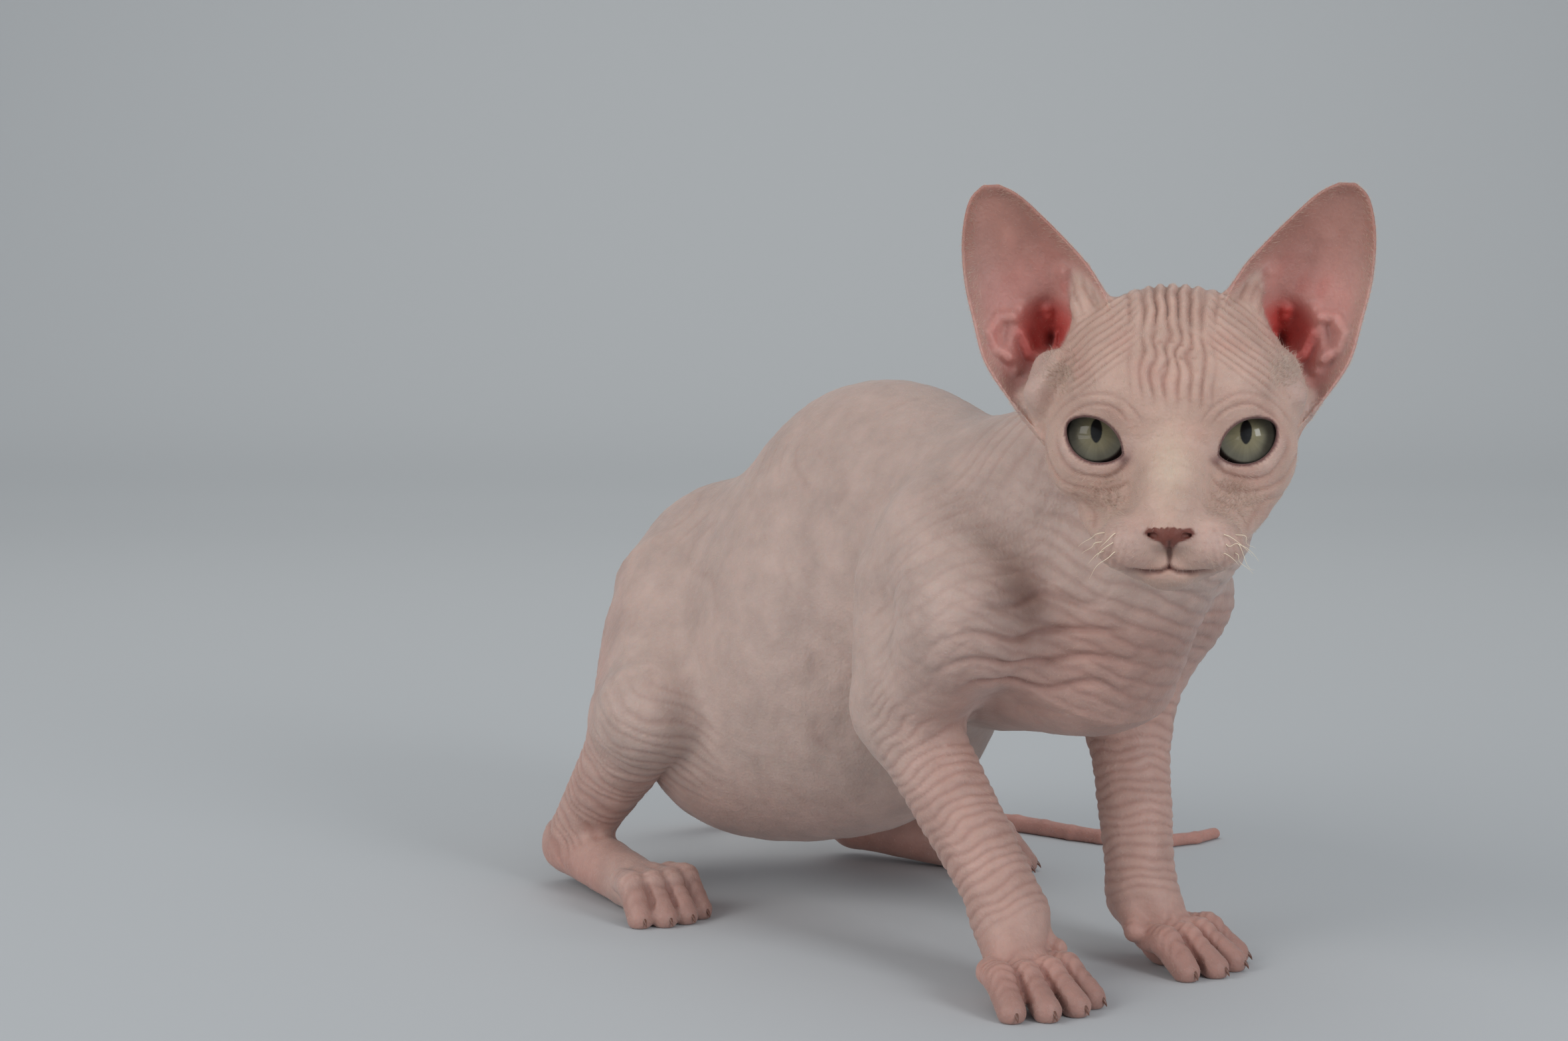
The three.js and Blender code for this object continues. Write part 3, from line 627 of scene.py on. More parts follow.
# %% Forehead and cheek folds
wave1, wave2, wave3 = wander(points, 14, 1), wander(points, 8, 2), wander(points, 24, 3)
rise = hz + 0.76 * ax  # constant along a fold that rises towards the middle of the forehead
brow = face_part * ramp(-hy, -40, -22)
tangle = np.exp(-((hx / 6.5) ** 2 + ((hz - 19.5) / 5) ** 2))  # where the upright folds break up and join
middle = brow * ramp(hz + 1.5 * wave1, 4.5, 12) * ramp(-ax + 1.3 * wave3, -13, -6)
middle *= ramp(-hz, -36, -30) * ramp(-rise, -31, -27)
upright = brow * ramp(rise, 26, 31) * ramp(-ax, -10, -5)
furrow = hx / 2.75 + 0.13 * wave1 + (0.05 + 0.45 * tangle) * wave2 + 0.5
press_and_shade(furrow, np.maximum(middle, upright), 0.5, 0.22)
links = brow * tangle * ramp(np.abs(np.sin(1.15 * hx + 1.3 * wave1)), 0.5, 0.9)
press_and_shade(hz / 3.4 + 0.5 * wave1, links, 0.5, 0.15)
crown = face_part * ramp(hz, 24, 30) * ramp(-ax, -13, -10) * ramp(-hy, -58, -44)
press_and_shade(hx / (2.9 + 0.012 * hy) + 0.16 * wave1 + 0.5, crown, 0.42, 0.2)
slope_folds = brow * ramp(ax, 6, 11) * ramp(-ax, -27, -22) * ramp(rise, 24.5, 28) * ramp(-rise, -47, -43)
press_and_shade(rise / 2.2 + 0.16 * wave1, slope_folds, 0.3, 0.2)
temple = face_part * ramp(rise, 44, 48) * ramp(ax, 13, 16) * ramp(-hy, -46, -30)
press_and_shade((ax - 0.4 * hz) / 3.0 + 0.2 * wave1, temple, 0.25, 0.18)
eye_round = np.hypot(ax - EYE_X, (hz + 0.5) * 1.05)
lip_rim = face_part * np.exp(-(((eye_round - 7.9) / 1.5) ** 2)) * ramp(-hz, -2, 2) * ramp(-hy, -12, -6)
folds["height"] += 0.35 * lip_rim  # the swollen edge of the lower lid
side_face = ramp(ax, 8, 11) + ramp(eye_round, 30, 40)
eye_front = face_part * ramp(-hy, -26, -16)
below = eye_front * ramp(-hz, -1.5, 3) * ramp(eye_round, 7.4, 8.6) * ramp(-eye_round, -19, -13)
press_and_shade((eye_round - 9.3) / 3.3 + 0.12 * wave2, below * np.clip(side_face, 0, 1), 0.3, 0.16)
above = eye_front * ramp(hz, 2, 6) * ramp(eye_round, 7.4, 8.4) * ramp(-eye_round, -13, -10.5)
press_and_shade((eye_round - 8.9) / 2.6 + 0.1 * wave2, above, 0.3, 0.17)
cheek = face_part * ramp(hy, 10, 20) * ramp(-hz, -4, 4)
press_and_shade((hy + 0.6 * hz) / 3.6 + 0.35 * wave1, cheek, 0.34, 0.18)
# the pinch between cheek and whisker pad, deeper on the side the head turns to
PINCH_DEPTH = 2.6
pinch = np.exp(-(((hz + 17.3) / 3.4) ** 2)) * ramp(ax, 13, 19) * face_part * np.where(hx < 0, 1, 0.25)
folds["height"] -= PINCH_DEPTH * pinch
# painted shadow along the pinch, under the cheek
pinch_line = line_distance(ax, hz, [(23, -13.5), (19.8, -17.5), (18, -21)])
paint_shade(0.6 * np.exp(-((pinch_line / 0.7) ** 2)) * face_part * ramp(-hy, -16, -8))
pad_lines = face_part * ramp(-hz, 19, 21) * ramp(ax, 8.5, 10.5) * ramp(-hy, -2, 3)
press_and_shade((ax + 0.25 * hz) / 1.7 + 0.1 * wave2, pad_lines, 0.1, 0.25)

# %% [markdown]
# The mouth is a shut line with a short upright cleft to the nose, and the pads carry faint dots where
# whiskers grow. They are thin lines on a smooth form, so each is a narrow valley along a few chosen points.

# %% Lines of the muzzle
front = ramp(-hy, -2, 3)
MOUTH = [(0, -29.4), (2.2, -30.6), (5.6, -31.0), (9.2, -30.4), (12, -29), (14.4, -26.4)]
NOSE_WING = [(0.9, -25.7), (2.2, -24.1), (4.8, -23.1), (6.1, -21.4)]
mouth_line = line_distance(ax, hz, MOUTH)
mouth = np.exp(-((mouth_line / 0.55) ** 2)) * front * (1 - 0.85 * ramp(ax, 6, 11))
philtrum = np.exp(-((hx / 0.5) ** 2)) * ramp(-hz, 22.8, 24.0) * ramp(hz, -30.4, -29.4) * ramp(-hy, 8, 12)
nose_side = np.exp(-((line_distance(ax, hz, NOSE_WING) / 0.5) ** 2)) * ramp(-hy, 11, 14)
folds["height"] -= 1.15 * mouth + 0.7 * philtrum + 0.35 * nose_side
dots = np.zeros(len(points))
for row in range(4):
    for step in range(5):
        spot = (5.4 + 2.3 * step + 0.5 * (row % 2), -21.6 - 2.1 * row + 0.12 * step * step)
        dots = np.maximum(dots, np.exp(-((np.hypot(ax - spot[0], hz - spot[1]) / 0.42) ** 2)))
dots *= ramp(-hy, -1, 3)
folds["height"] += 0.08 * dots
print("face folds up to", round(float(folds["crease"].max()), 2))

# %% [markdown]
# Loose skin gathers at the throat, in the armpit and the groin, and in rings round the legs, while back and
# belly stay nearly smooth. Rings follow each shin, so they are counted along the bone.

# %% Neck, trunk and leg folds
body_part = 1 - head_part
x, y, z = points.T
throat = body_part * ramp(-y, 30, 46) * ramp(z, 62, 76) * ramp(-z, -150, -128)
slant = 0.62 * x - 0.55 * y
chest = throat * ramp(-y, 56, 72)
press_and_shade((z + 0.5 * slant) / 4.6 + 0.25 * wave3 + 0.1 * wave2, throat * (0.3 + 0.7 * chest), 0.24, 0.2)
press_and_shade((z - 0.75 * slant) / 7 + 0.35 * wave3, chest * ramp(wave3, 0.1, 0.9), 0.16, 0.18)
armpit = body_part * ramp(-np.linalg.norm((points - [-22, -62, 88]) * [0.8, 0.8, 1.25], axis=1), -26, -13)
press_and_shade((z - 0.1 * slant) / 7.5 + 0.28 * wave3, armpit, 0.85, 0.15)
nape = body_part * ramp(-y, 28, 40) * ramp(z, 118, 132)
press_and_shade((y + 0.25 * z) / 5.5 + 0.3 * wave3, nape, 0.18, 0.18)
flank = body_part * ramp(y, -20, -4) * ramp(-y, -118, -90) * ramp(z, 24, 40)
flank *= ramp(wander(points, 34, 9), 0.0, 0.8)
press_and_shade((y - 0.35 * z) / 11 + wander(points, 40, 8), flank, 0.12, 0.12)
CLEFT_WIDTH, CLEFT_DEPTH = 0.75, 0.9  # the grooves between the toes
for name, leg in LEGS.items():
    knee, ankle = np.array(leg["line"][-2], float), np.array(leg["line"][-1], float)
    shin = ankle - knee
    length = np.linalg.norm(shin)
    shin /= length
    run = (points - knee) @ shin
    off = np.linalg.norm(points - knee - run[:, None] * shin, axis=1)
    on_leg = ramp(-off, -21, -15) * body_part
    if name.startswith("fore"):
        on_leg *= ramp(run, -16, -4) * ramp(-run, -length - 6, -length + 2) * ramp(-y, 24, 30)
        press_and_shade(run / 2.9 + 0.28 * wave1 + 0.1 * wave2, on_leg, 0.28, 0.18)
    else:
        on_leg *= ramp(run, 4, 14) * ramp(-run, -length - 4, -length + 4) * ramp(-off, -15, -11)
        press_and_shade(run / 3.6 + 0.4 * wave1, on_leg, 0.3, 0.2)
        hip = np.array(leg["line"][1], float)
        groin = points - hip - [0, -4, -8]
        press_and_shade((groin[:, 2] - 0.7 * groin[:, 1]) / 4.6 + 0.3 * wave1,
              body_part * ramp(-np.linalg.norm(groin, axis=1), -26, -12), 0.26, 0.17)
    for tip, way, knuckle in leg["foot"][1]:
        along = (points - knuckle) @ way
        side = np.linalg.norm((points - knuckle - along[:, None] * way)[:, :2], axis=1)
        toe = ramp(-side, -4.2, -3.0) * ramp(along, -7, -5) * ramp(-along, -8, -6)
        toe *= ramp(-z, -16, -13) * ramp(z, 5, 7)
        press_and_shade(along / 2.3 + 0.2 * wave2, toe, 0.2, 0.22)
    toes = leg["foot"][1]
    for one, two in zip(toes, toes[1:]):
        web, gap = (one[2] + two[2])[:2] / 2, (one[0] + two[0])[:2] / 2
        to_cleft = line_distance(x, y, [tuple(web), tuple(gap)])
        cleft = np.exp(-((to_cleft / CLEFT_WIDTH) ** 2)) * ramp(-z, -13, -10)
        folds["height"] -= CLEFT_DEPTH * cleft
        # painted shade in the groove between the toes
        paint_shade(cleft)
shoulder = body_part * ramp(-np.linalg.norm((points - [-33, -50, 92]) * [1, 1, 0.8], axis=1), -34, -22)
press_and_shade((0.8 * z + 0.5 * y) / 4.8 + 0.3 * wave3, shoulder, 0.12, 0.16)
tail_part = ramp(y, 100, 122) * ramp(-z, -84, -76) * (x > -4) + ramp(x, 62, 70)
tail_near = np.min([np.linalg.norm(points - k, axis=1) for k in tail_knots], axis=0)
tail_part = np.clip(tail_part, 0, 1) * ramp(-tail_near, -9.5, -7.5)
fine = wander(points, 3.2, 21) + wander(points, 5.5, 22)
folds["height"] += (0.05 * fine + 0.09 * wander(points, 11, 23) * body_part) * (1 - tail_part)

# %% [markdown]
# The folds are real shape, not only a bump, because they show at the outline. Ears, lids and soles stay
# calm, and the points move along the skin's own normals.

# %% Press the folds in
from_lid = np.abs(lid_edge(hx.astype(np.float32), hz.astype(np.float32)))
lid = ramp(-from_lid, -0.8, -0.4) * ramp(-hy, -14, -10) * head_part
calm = (1 - 0.92 * ear_part) * (1 - lid) * ramp(z, 0.2, 2.0)
points = points + normals * (folds["height"] * calm)[:, None]
points[:, 2] = np.maximum(points[:, 2], 0)
lowest, highest = float(folds["height"].min()), float(folds["height"].max())
print("fold heights", round(lowest, 2), "to", round(highest, 2), "mm")

# %% [markdown]
# The skin's colour is the flesh under it. It is greyish pink on the trunk and warmer on the face and legs.
# It is red where blood shows through the ears and toes, and dark on the nose leather, the rims of the lids
# and the lips. Painted shade darkens the creases and the chest under the head, and the underside and the feet
# are painted darker as well as pinker. Each place gets its colour from where it is on the body, and the fine
# down on top later asks for the same colour.

# %% Skin colours
def tone(r, g, b):
    c = np.array([r, g, b]) / 255
    return np.where(c <= 0.04045, c / 12.92, ((c + 0.055) / 1.055) ** 2.4)


# the blush tone is a darker pink: real blush on the tail, face and ears, partly painted shade on the
# underside and feet
TONES = {
    "body": tone(190, 166, 156), "face": tone(194, 162, 148), "leg": tone(188, 154, 143),
    "cream": tone(212, 194, 174), "ear_in": tone(196, 142, 134), "ear_red": tone(186, 70, 64),
    "ear_top": tone(160, 110, 98), "ear_rim": tone(186, 158, 148), "nose": tone(106, 46, 34),
    "lid": tone(116, 84, 80), "lip": tone(112, 68, 60), "toe": tone(166, 128, 118),
    "blush_and_shade": tone(186, 132, 120), "shade_under_head": tone(160, 118, 106), "pad": tone(190, 162, 152),
}
colour = np.tile(TONES["body"], (len(points), 1))


def paint(name, mask):
    global colour
    m = np.clip(mask, 0, 1)[:, None]
    colour = colour * (1 - m) + TONES[name] * m


ankles = [np.array(leg["line"][-1]) for leg in LEGS.values()]
leg_near = np.min([np.linalg.norm((points - a) * [1, 1, 0.45], axis=1) for a in ankles], 0)
# the lower body is painted darker as well as pinker: partly blush, partly painted shade under the belly
paint("blush_and_shade", body_part * ramp(-z, -50, -20) * 0.3)
# painted shade on the chest front under the head, in a darker, redder tone
breast_shade = body_part * ramp(-y, 52, 74) * ramp(z, 52, 66) * ramp(-z, -106, -88) * ramp(x, -28, -16)
paint("shade_under_head", breast_shade * 0.6)
paint("leg", ramp(-leg_near, -46, -22) * body_part)
# the lower legs and feet near the floor are painted darker as well as pinker: partly blush, partly painted
# shade
paint("blush_and_shade", body_part * ramp(-z, -20, -6) * ramp(-leg_near, -40, -26) * 0.55)
paint("blush_and_shade", tail_part * 0.75)
paint("face", head_part * (0.35 + 0.65 * ramp(-hy, -34, -8)))
paint("blush_and_shade", face_part * ramp(wave1, 0.1, 1.1) * 0.2)
bridge = np.exp(-((hx / 5.0) ** 2 + ((hz + 6) / 8.5) ** 2)) * ramp(-hy, -6, 2) * head_part
paint("cream", bridge * 0.55)
paint("pad", lip_rim * 0.5)
paint("pad", face_part * np.exp(-(((ax - 10) / 6) ** 2 + ((hz + 23) / 5) ** 2)) * 0.8)
inner = ear_part * (hy < look_up(ear_back, ear_u, hz))
canal = np.hypot(ear_u - 28.8, (hz - 24.5) * 0.8)
paint("ear_rim", ear_part)
paint("ear_in", inner * (0.55 + 0.45 * ramp(-rim_gap, 1, 5)) * ramp(-canal, -32, -12))
paint("ear_red", inner * ramp(-canal, -9.5, -5) * (0.85 + 0.15 * wave2))
paint("ear_red", inner * ramp(wander(points, 7, 51), 0.2, 1.2) * ramp(-canal, -26, -9) * 0.2)
paint("blush_and_shade", ear_part * (1 - (inner > 0)) * 0.35)
paint("ear_top", inner * ramp(hz, 30, 52) * 0.8)
tragus = np.exp(-((line_distance(ear_u, hz, [(34.5, 6), (31.6, 12), (28.8, 18)]) / 3.4) ** 2))
paint("pad", np.clip(inner + face_part * (hy < 26), 0, 1) * tragus * 0.8)
toe_tips = [toe[0] for leg in LEGS.values() for toe in leg["foot"][1]]
toe_near = np.min([np.linalg.norm(points - tip, axis=1) for tip in toe_tips], 0)
paint("toe", ramp(-toe_near, -14, -5) * 0.8)
CREASE_SHADE_LOSS = np.array([0.22, 0.34, 0.36])  # the share of red, green and blue that painted shade takes from a crease
# painted shade: the marked valleys are darkened, except on the calm ears, lids and soles
crease = np.clip(folds["crease"], 0, 1) * calm
colour = colour * (1 - crease[:, None] * CREASE_SHADE_LOSS)
NOSE_TOP, NOSE_FOOT = -20.2, -25.8
NOSE = np.array([
    (-0.1, NOSE_TOP), (4.9, -20.4), (5.9, -21.6), (4.6, -22.9), (2.2, -23.9), (0.9, -25.6), (-0.1, NOSE_FOOT),
])
nose_edge = line_distance(ax, hz, NOSE[1:])
nose_area = np.where(inside_outline(ax, hz, NOSE), nose_edge, -nose_edge)
nose_area = np.where(ax < 0.3, np.minimum(hz - NOSE_FOOT, NOSE_TOP - hz), nose_area)
nose_area = ramp(nose_area, -0.35, 0.35) * ramp(-hy, 9.5, 12)
paint("nose", nose_area * 0.92)
paint("lip", np.clip(mouth * 0.95 + philtrum * 0.8, 0, 1))
paint("lip", dots * 0.14)
paint("lid", lid)
paint("lid", head_part * np.exp(-((np.hypot(ax - 10.6, hz + 5.0) / 1.5) ** 2)) * ramp(-hy, -4, 0) * 0.8)
print("mean colour", colour.mean(0).round(3))

# %% [markdown]
# The skin is one mesh in metres, with its colours kept on its points. A texture painted by hand would need
# an unwrap without seams, while colours on a mesh this fine are sharp enough.

# %% Make the skin piece
def piece_from(name, points_mm, faces):
    mesh = bpy.data.meshes.new(name)
    mesh.from_pydata([], [], [])
    v = ((np.asarray(points_mm) - CENTRE) * MM).astype(np.float32)
    faces = np.asarray(faces)
    mesh.vertices.add(len(v))
    mesh.vertices.foreach_set("co", v.ravel())
    mesh.loops.add(faces.size)
    mesh.loops.foreach_set("vertex_index", faces.astype(np.int32).ravel())
    mesh.polygons.add(len(faces))
    mesh.polygons.foreach_set("loop_start", np.arange(len(faces), dtype=np.int32) * faces.shape[1])
    mesh.polygons.foreach_set("use_smooth", np.ones(len(faces), bool))
    mesh.update(calc_edges=True)
    made = bpy.data.objects.new(name, mesh)
    bpy.context.scene.collection.objects.link(made)
    return made


def keep_colour(piece, rgb, name="tone"):
    layer = piece.data.color_attributes.new(name, "FLOAT_COLOR", "POINT")
    layer.data.foreach_set("color", np.hstack([rgb, np.ones((len(rgb), 1))]).astype(np.float32).ravel())


skin = piece_from("skin", points, quads)
keep_colour(skin, np.clip(colour, 0, 1))
FLESH = [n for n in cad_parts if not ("claw" in n or n.startswith("eye"))]
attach(skin, "root")
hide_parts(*FLESH)
print("skin replaces", len(FLESH), "nodes")

# %% [markdown]
# Skin lets light in and scatters it back redder, and it has a soft, slightly oily sheen. The shader
# therefore uses subsurface scattering, a broad gloss, and a bump of pores and very fine lines too small to
# model.

# %% Skin finish
def shader(name, **values):
    m = bpy.data.materials.new(name)
    m.use_nodes = True
    p = m.node_tree.nodes["Principled BSDF"]
    for key, value in values.items():
        p.inputs[key.replace("_", " ")].default_value = value
    return m, m.node_tree, p


def place(tree, kind, **values):
    node = tree.nodes.new(kind)
    for key, value in values.items():
        node.inputs[key].default_value = value
    return node


def skin_finish(name, roughness, scatter):
    m, tree, p = shader(name, Roughness=roughness, Subsurface_Weight=scatter, Subsurface_Scale=0.0022,
                        Specular_IOR_Level=0.38, Sheen_Weight=0.12, Sheen_Roughness=0.4)
    p.inputs["Subsurface Radius"].default_value = (1.0, 0.36, 0.22)
    link = tree.links.new
    base = tree.nodes.new("ShaderNodeAttribute")
    base.attribute_name = "tone"
    where = tree.nodes.new("ShaderNodeTexCoord")
    blotch = place(tree, "ShaderNodeTexNoise", Scale=95.0, Detail=5.0, Roughness=0.62)
    link(where.outputs["Object"], blotch.inputs["Vector"])
    shade = place(tree, "ShaderNodeMapRange")
    for key, value in {"From Min": 0.3, "From Max": 0.7, "To Min": 0.86, "To Max": 1.1}.items():
        shade.inputs[key].default_value = value
    link(blotch.outputs["Fac"], shade.inputs["Value"])
    mixed = tree.nodes.new("ShaderNodeVectorMath")
    mixed.operation = "SCALE"
    link(base.outputs["Color"], mixed.inputs[0])
    link(shade.outputs["Result"], mixed.inputs["Scale"])
    link(mixed.outputs["Vector"], p.inputs["Base Color"])
    lines = place(tree, "ShaderNodeTexNoise", Scale=620.0, Detail=6.0, Roughness=0.6)
    pores = place(tree, "ShaderNodeTexVoronoi", Scale=1100.0)
    for texture in (lines, pores):
        link(where.outputs["Object"], texture.inputs["Vector"])
    first = place(tree, "ShaderNodeBump", Strength=0.35, Distance=0.0006)
    second = place(tree, "ShaderNodeBump", Strength=0.25, Distance=0.0003)
    link(lines.outputs["Fac"], first.inputs["Height"])
    link(pores.outputs["Distance"], second.inputs["Height"])
    link(first.outputs["Normal"], second.inputs["Normal"])
    link(second.outputs["Normal"], p.inputs["Normal"])
    return m


skin.data.materials.append(skin_finish("bare_skin", 0.52, 0.28))

# %% [markdown]
# Each eye is a ball with a real front: the iris lies a little behind a clear cornea, so the slit pupil has
# depth from any side. The iris is coloured by its angle and its distance from the pupil, as real irises
# are.

# %% Eyes
GAZE, IRIS_HALF_ANGLE = math.radians(10), math.radians(54)


def ball_grid(rings, around):
    theta = np.linspace(0, math.pi, rings + 1)
    turn = np.arange(around) * 2 * math.pi / around
    T, F = np.meshgrid(theta, turn, indexing="ij")
    faces = []
    for i in range(rings):
        for j in range(around):
            here, beside = i * around + j, i * around + (j + 1) % around
            faces.append((here, here + around, beside + around, beside))
    return T.ravel(), F.ravel(), np.array(faces)


def eye_frame(side, forward, sideways, upward):
    g = np.array([0, -math.cos(GAZE), math.sin(GAZE)])
    u = np.array([0, math.sin(GAZE), math.cos(GAZE)])
    local = np.array([side * EYE_X, EYE_Y, 0]) + forward[:, None] * g + upward[:, None] * u
    local[:, 0] += sideways
    return from_head(local)


def iris_colours(theta, turn, side):
    r = np.clip(theta / IRIS_HALF_ANGLE, 0, 1.4)
    draw = np.random.default_rng(5 + side)
    streak = sum(np.sin(turn * k + draw.uniform(0, 6)) / k**0.5 for k in (9, 17, 31, 47, 63)) / 3
    inner_c, outer_c, edge_c = tone(152, 144, 112), tone(140, 138, 122), tone(46, 38, 36)
    c = inner_c + (outer_c - inner_c) * ramp(r, 0.25, 0.8)[:, None]
    c = c * (0.86 + 0.32 * streak * ramp(r, 0.15, 0.4))[:, None]
    rim_mask = ramp(r, 0.84, 0.97)[:, None]
    c = c * (1 - rim_mask) + edge_c * rim_mask
    white = ramp(r, 1.1, 1.3)[:, None]
    c = c * (1 - white) + tone(150, 120, 112) * white
    ux, uz = np.sin(theta) * np.cos(turn) * EYE_RADIUS, np.sin(theta) * np.sin(turn) * EYE_RADIUS
    pupil = ramp(-((np.abs(ux) / 1.25) ** 1.5 + (np.abs(uz - 0.5) / 2.7) ** 2.2), -1.12, -0.9)[:, None]
    return np.clip(c * (1 - pupil) + tone(6, 6, 8) * pupil, 0, 1)


theta, turn, ball_faces = ball_grid(120, 160)
eye_material, eye_tree, eye_shader = shader("iris", Roughness=0.35, Specular_IOR_Level=0.3)
eye_tone = eye_tree.nodes.new("ShaderNodeAttribute")
eye_tone.attribute_name = "tone"
eye_tree.links.new(eye_tone.outputs["Color"], eye_shader.inputs["Base Color"])
cornea_material, _, _ = shader("cornea", Roughness=0.015, IOR=1.36, Transmission_Weight=1.0)
for side, name in ((1, "eye_left"), (-1, "eye_right")):
    radius = EYE_RADIUS - 0.35
    forward, out = radius * np.cos(theta), radius * np.sin(theta)
    edge = radius * math.cos(IRIS_HALF_ANGLE)
    sunk = theta < IRIS_HALF_ANGLE
    forward = np.where(sunk, edge + 0.9 * (1 - theta / IRIS_HALF_ANGLE), forward)
    ball = eye_frame(side, forward, out * np.cos(turn), out * np.sin(turn))
    globe = piece_from(name + "_globe", ball, ball_faces)
    keep_colour(globe, iris_colours(theta, turn, side))
    globe.data.materials.append(eye_material)
    swell = EYE_RADIUS - 0.05 + 0.55 * np.exp(-((theta / 0.62) ** 2))
    wide = swell * np.sin(theta)
    dome = eye_frame(side, swell * np.cos(theta), wide * np.cos(turn), wide * np.sin(turn))
    cornea = piece_from(name + "_cornea", dome, ball_faces)
    cornea.data.materials.append(cornea_material)
    cornea.visible_shadow = False
    for part in (globe, cornea):
        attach(part, "root")
    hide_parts(name)
print("eyes", EYE_RADIUS, "mm radius")

# %% [markdown]
# The claws are small hooks of horn, mostly drawn in. Each is a tapering bent tube that comes out above the
# toe pad.

# %% Claws
def tube(path, radii, sides):
    path, radii = np.asarray(path, float), np.asarray(radii, float)
    ahead = np.gradient(path, axis=0)
    ahead /= np.linalg.norm(ahead, axis=1)[:, None]
    ref = np.array([0.31, 0.17, 0.93])
    u = np.cross(ahead, ref)
    u /= np.linalg.norm(u, axis=1)[:, None]
    w = np.cross(ahead, u)
    turns = np.arange(sides) * 2 * math.pi / sides
    ring = path[:, None] + radii[:, None, None] * (np.cos(turns)[None, :, None] * u[:, None]
                                                  + np.sin(turns)[None, :, None] * w[:, None])
    faces = []
    for i in range(len(path) - 1):
        for j in range(sides):
            here, beside = i * sides + j, i * sides + (j + 1) % sides
            faces.append((here, beside, beside + sides, here + sides))
    return ring.reshape(-1, 3), np.array(faces)


CLAW_LENGTH, CLAW_BEND = 4.4, 1.25
claw_material, _, claw_shader = shader("claw_horn", Roughness=0.3, Specular_IOR_Level=0.5,
                                               Subsurface_Weight=0.2, Subsurface_Scale=0.0008)
claw_shader.inputs["Base Color"].default_value = (*tone(112, 78, 66), 1)
for leg_name, leg in LEGS.items():
    for number, (tip, way, _) in enumerate(leg["foot"][1], 1):
        t = np.linspace(0, 1, 9)
        bend = t * CLAW_BEND
        up = np.array([0, 0, 1.0])
        root = tip + way * 1.2 + up * 1.0
        forth = np.sin(bend) / CLAW_BEND * CLAW_LENGTH
        drop = (np.cos(bend) - 1) / CLAW_BEND * CLAW_LENGTH
        path = root + np.outer(forth, way) + np.outer(drop, up)
        path[:, 2] = np.maximum(path[:, 2], 0.35)
        ring, faces = tube(path, 0.8 * (1 - t) ** 0.7 + 0.06, 10)
        claw = piece_from(f"{leg_name}_hook_{number}", ring, faces)
        claw.data.materials.append(claw_material)
        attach(claw, "root")
        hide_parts(f"{leg_name}_claw_{number}")
print("claws", 16)

# %% [markdown]
# A hairless kitten still carries down: a fine cream fuzz on the nose bridge, muzzle, ears' rims, toes and
# tail, and a thin velvet that only shows against the light along the body's outline. Every hair is a tiny
# three-sided spike of mesh. Its colour comes from the skin at its root, and its place on the texture comes
# from an unwrap of the skin itself.

# %% Places for the down
corner = points[quads]
quad_area = 0.5 * np.linalg.norm(np.cross(corner[:, 2] - corner[:, 0], corner[:, 3] - corner[:, 1]), axis=1)


PATCH_RADIUS = 0.0015  # each hair and whisker has its own small patch of the texture


def patch_of(count):
    spread = np.arange(count) * 1.7
    return PATCH_RADIUS * np.stack([np.cos(spread), np.sin(spread)], 1)


def unwrap(p, n):
    on_head = p[:, 2] > 96
    local = np.stack(to_head(*p.T.astype(np.float32)), 1)
    u_head = 0.25 + np.arctan2(local[:, 0], -local[:, 1] + 20) / (2 * math.pi) * 0.46
    v_head = np.clip((local[:, 2] + 45) / 110, 0, 1) * 0.47 + 0.01
    u_body = 0.75 + np.arctan2(p[:, 0] - 3, p[:, 2] - 74) / (2 * math.pi) * 0.46
    v_body = np.clip((p[:, 1] + 135) / 290, 0, 1) * 0.47 + 0.51
    v_body = np.where(n[:, 2] < -0.2, v_body - 0.0015, v_body)
    return np.stack([np.where(on_head, u_head, u_body), np.where(on_head, v_head, v_body)], 1)


def scatter(density, count, seed):
    draw = np.random.default_rng(seed)
    weight = quad_area * np.clip(density[quads].mean(1), 0, None)
    chosen = draw.choice(len(quads), count, p=weight / weight.sum())
    s, t = draw.uniform(0, 1, (2, count, 1))
    c = quads[chosen]
    blend = [(1 - s) * (1 - t), s * (1 - t), s * t, (1 - s) * t]
    spot = sum(b * points[c[:, k]] for k, b in enumerate(blend))
    n = sum(b * normals[c[:, k]] for k, b in enumerate(blend))
    n /= np.maximum(np.linalg.norm(n, axis=1), 1e-6)[:, None]
    rgb = sum(b * colour[c[:, k]] for k, b in enumerate(blend))
    return spot, n, rgb


def hair_lie(p, n):  # hairs lean back from the nose, down the legs and along the tail
    back = np.tile([0.15, 1.0, -0.35], (len(p), 1))
    local = np.stack(to_head(*p.T.astype(np.float32)), 1)
    from_nose = (local - [0, -14, -16]) @ HEAD_TURN.T
    on_head = ramp(p[:, 2], 92, 108)[:, None] * ramp(-p[:, 1], 50, 70)[:, None]
    way = back * (1 - on_head) + from_nose / np.linalg.norm(from_nose, axis=1)[:, None] * on_head
    low = ramp(-p[:, 2], -60, -40)[:, None]
    way = way * (1 - low) + np.array([0, 0.1, -1.0]) * low
    way = way - n * (way * n).sum(1)[:, None]
    return way / np.maximum(np.linalg.norm(way, axis=1), 1e-6)[:, None]


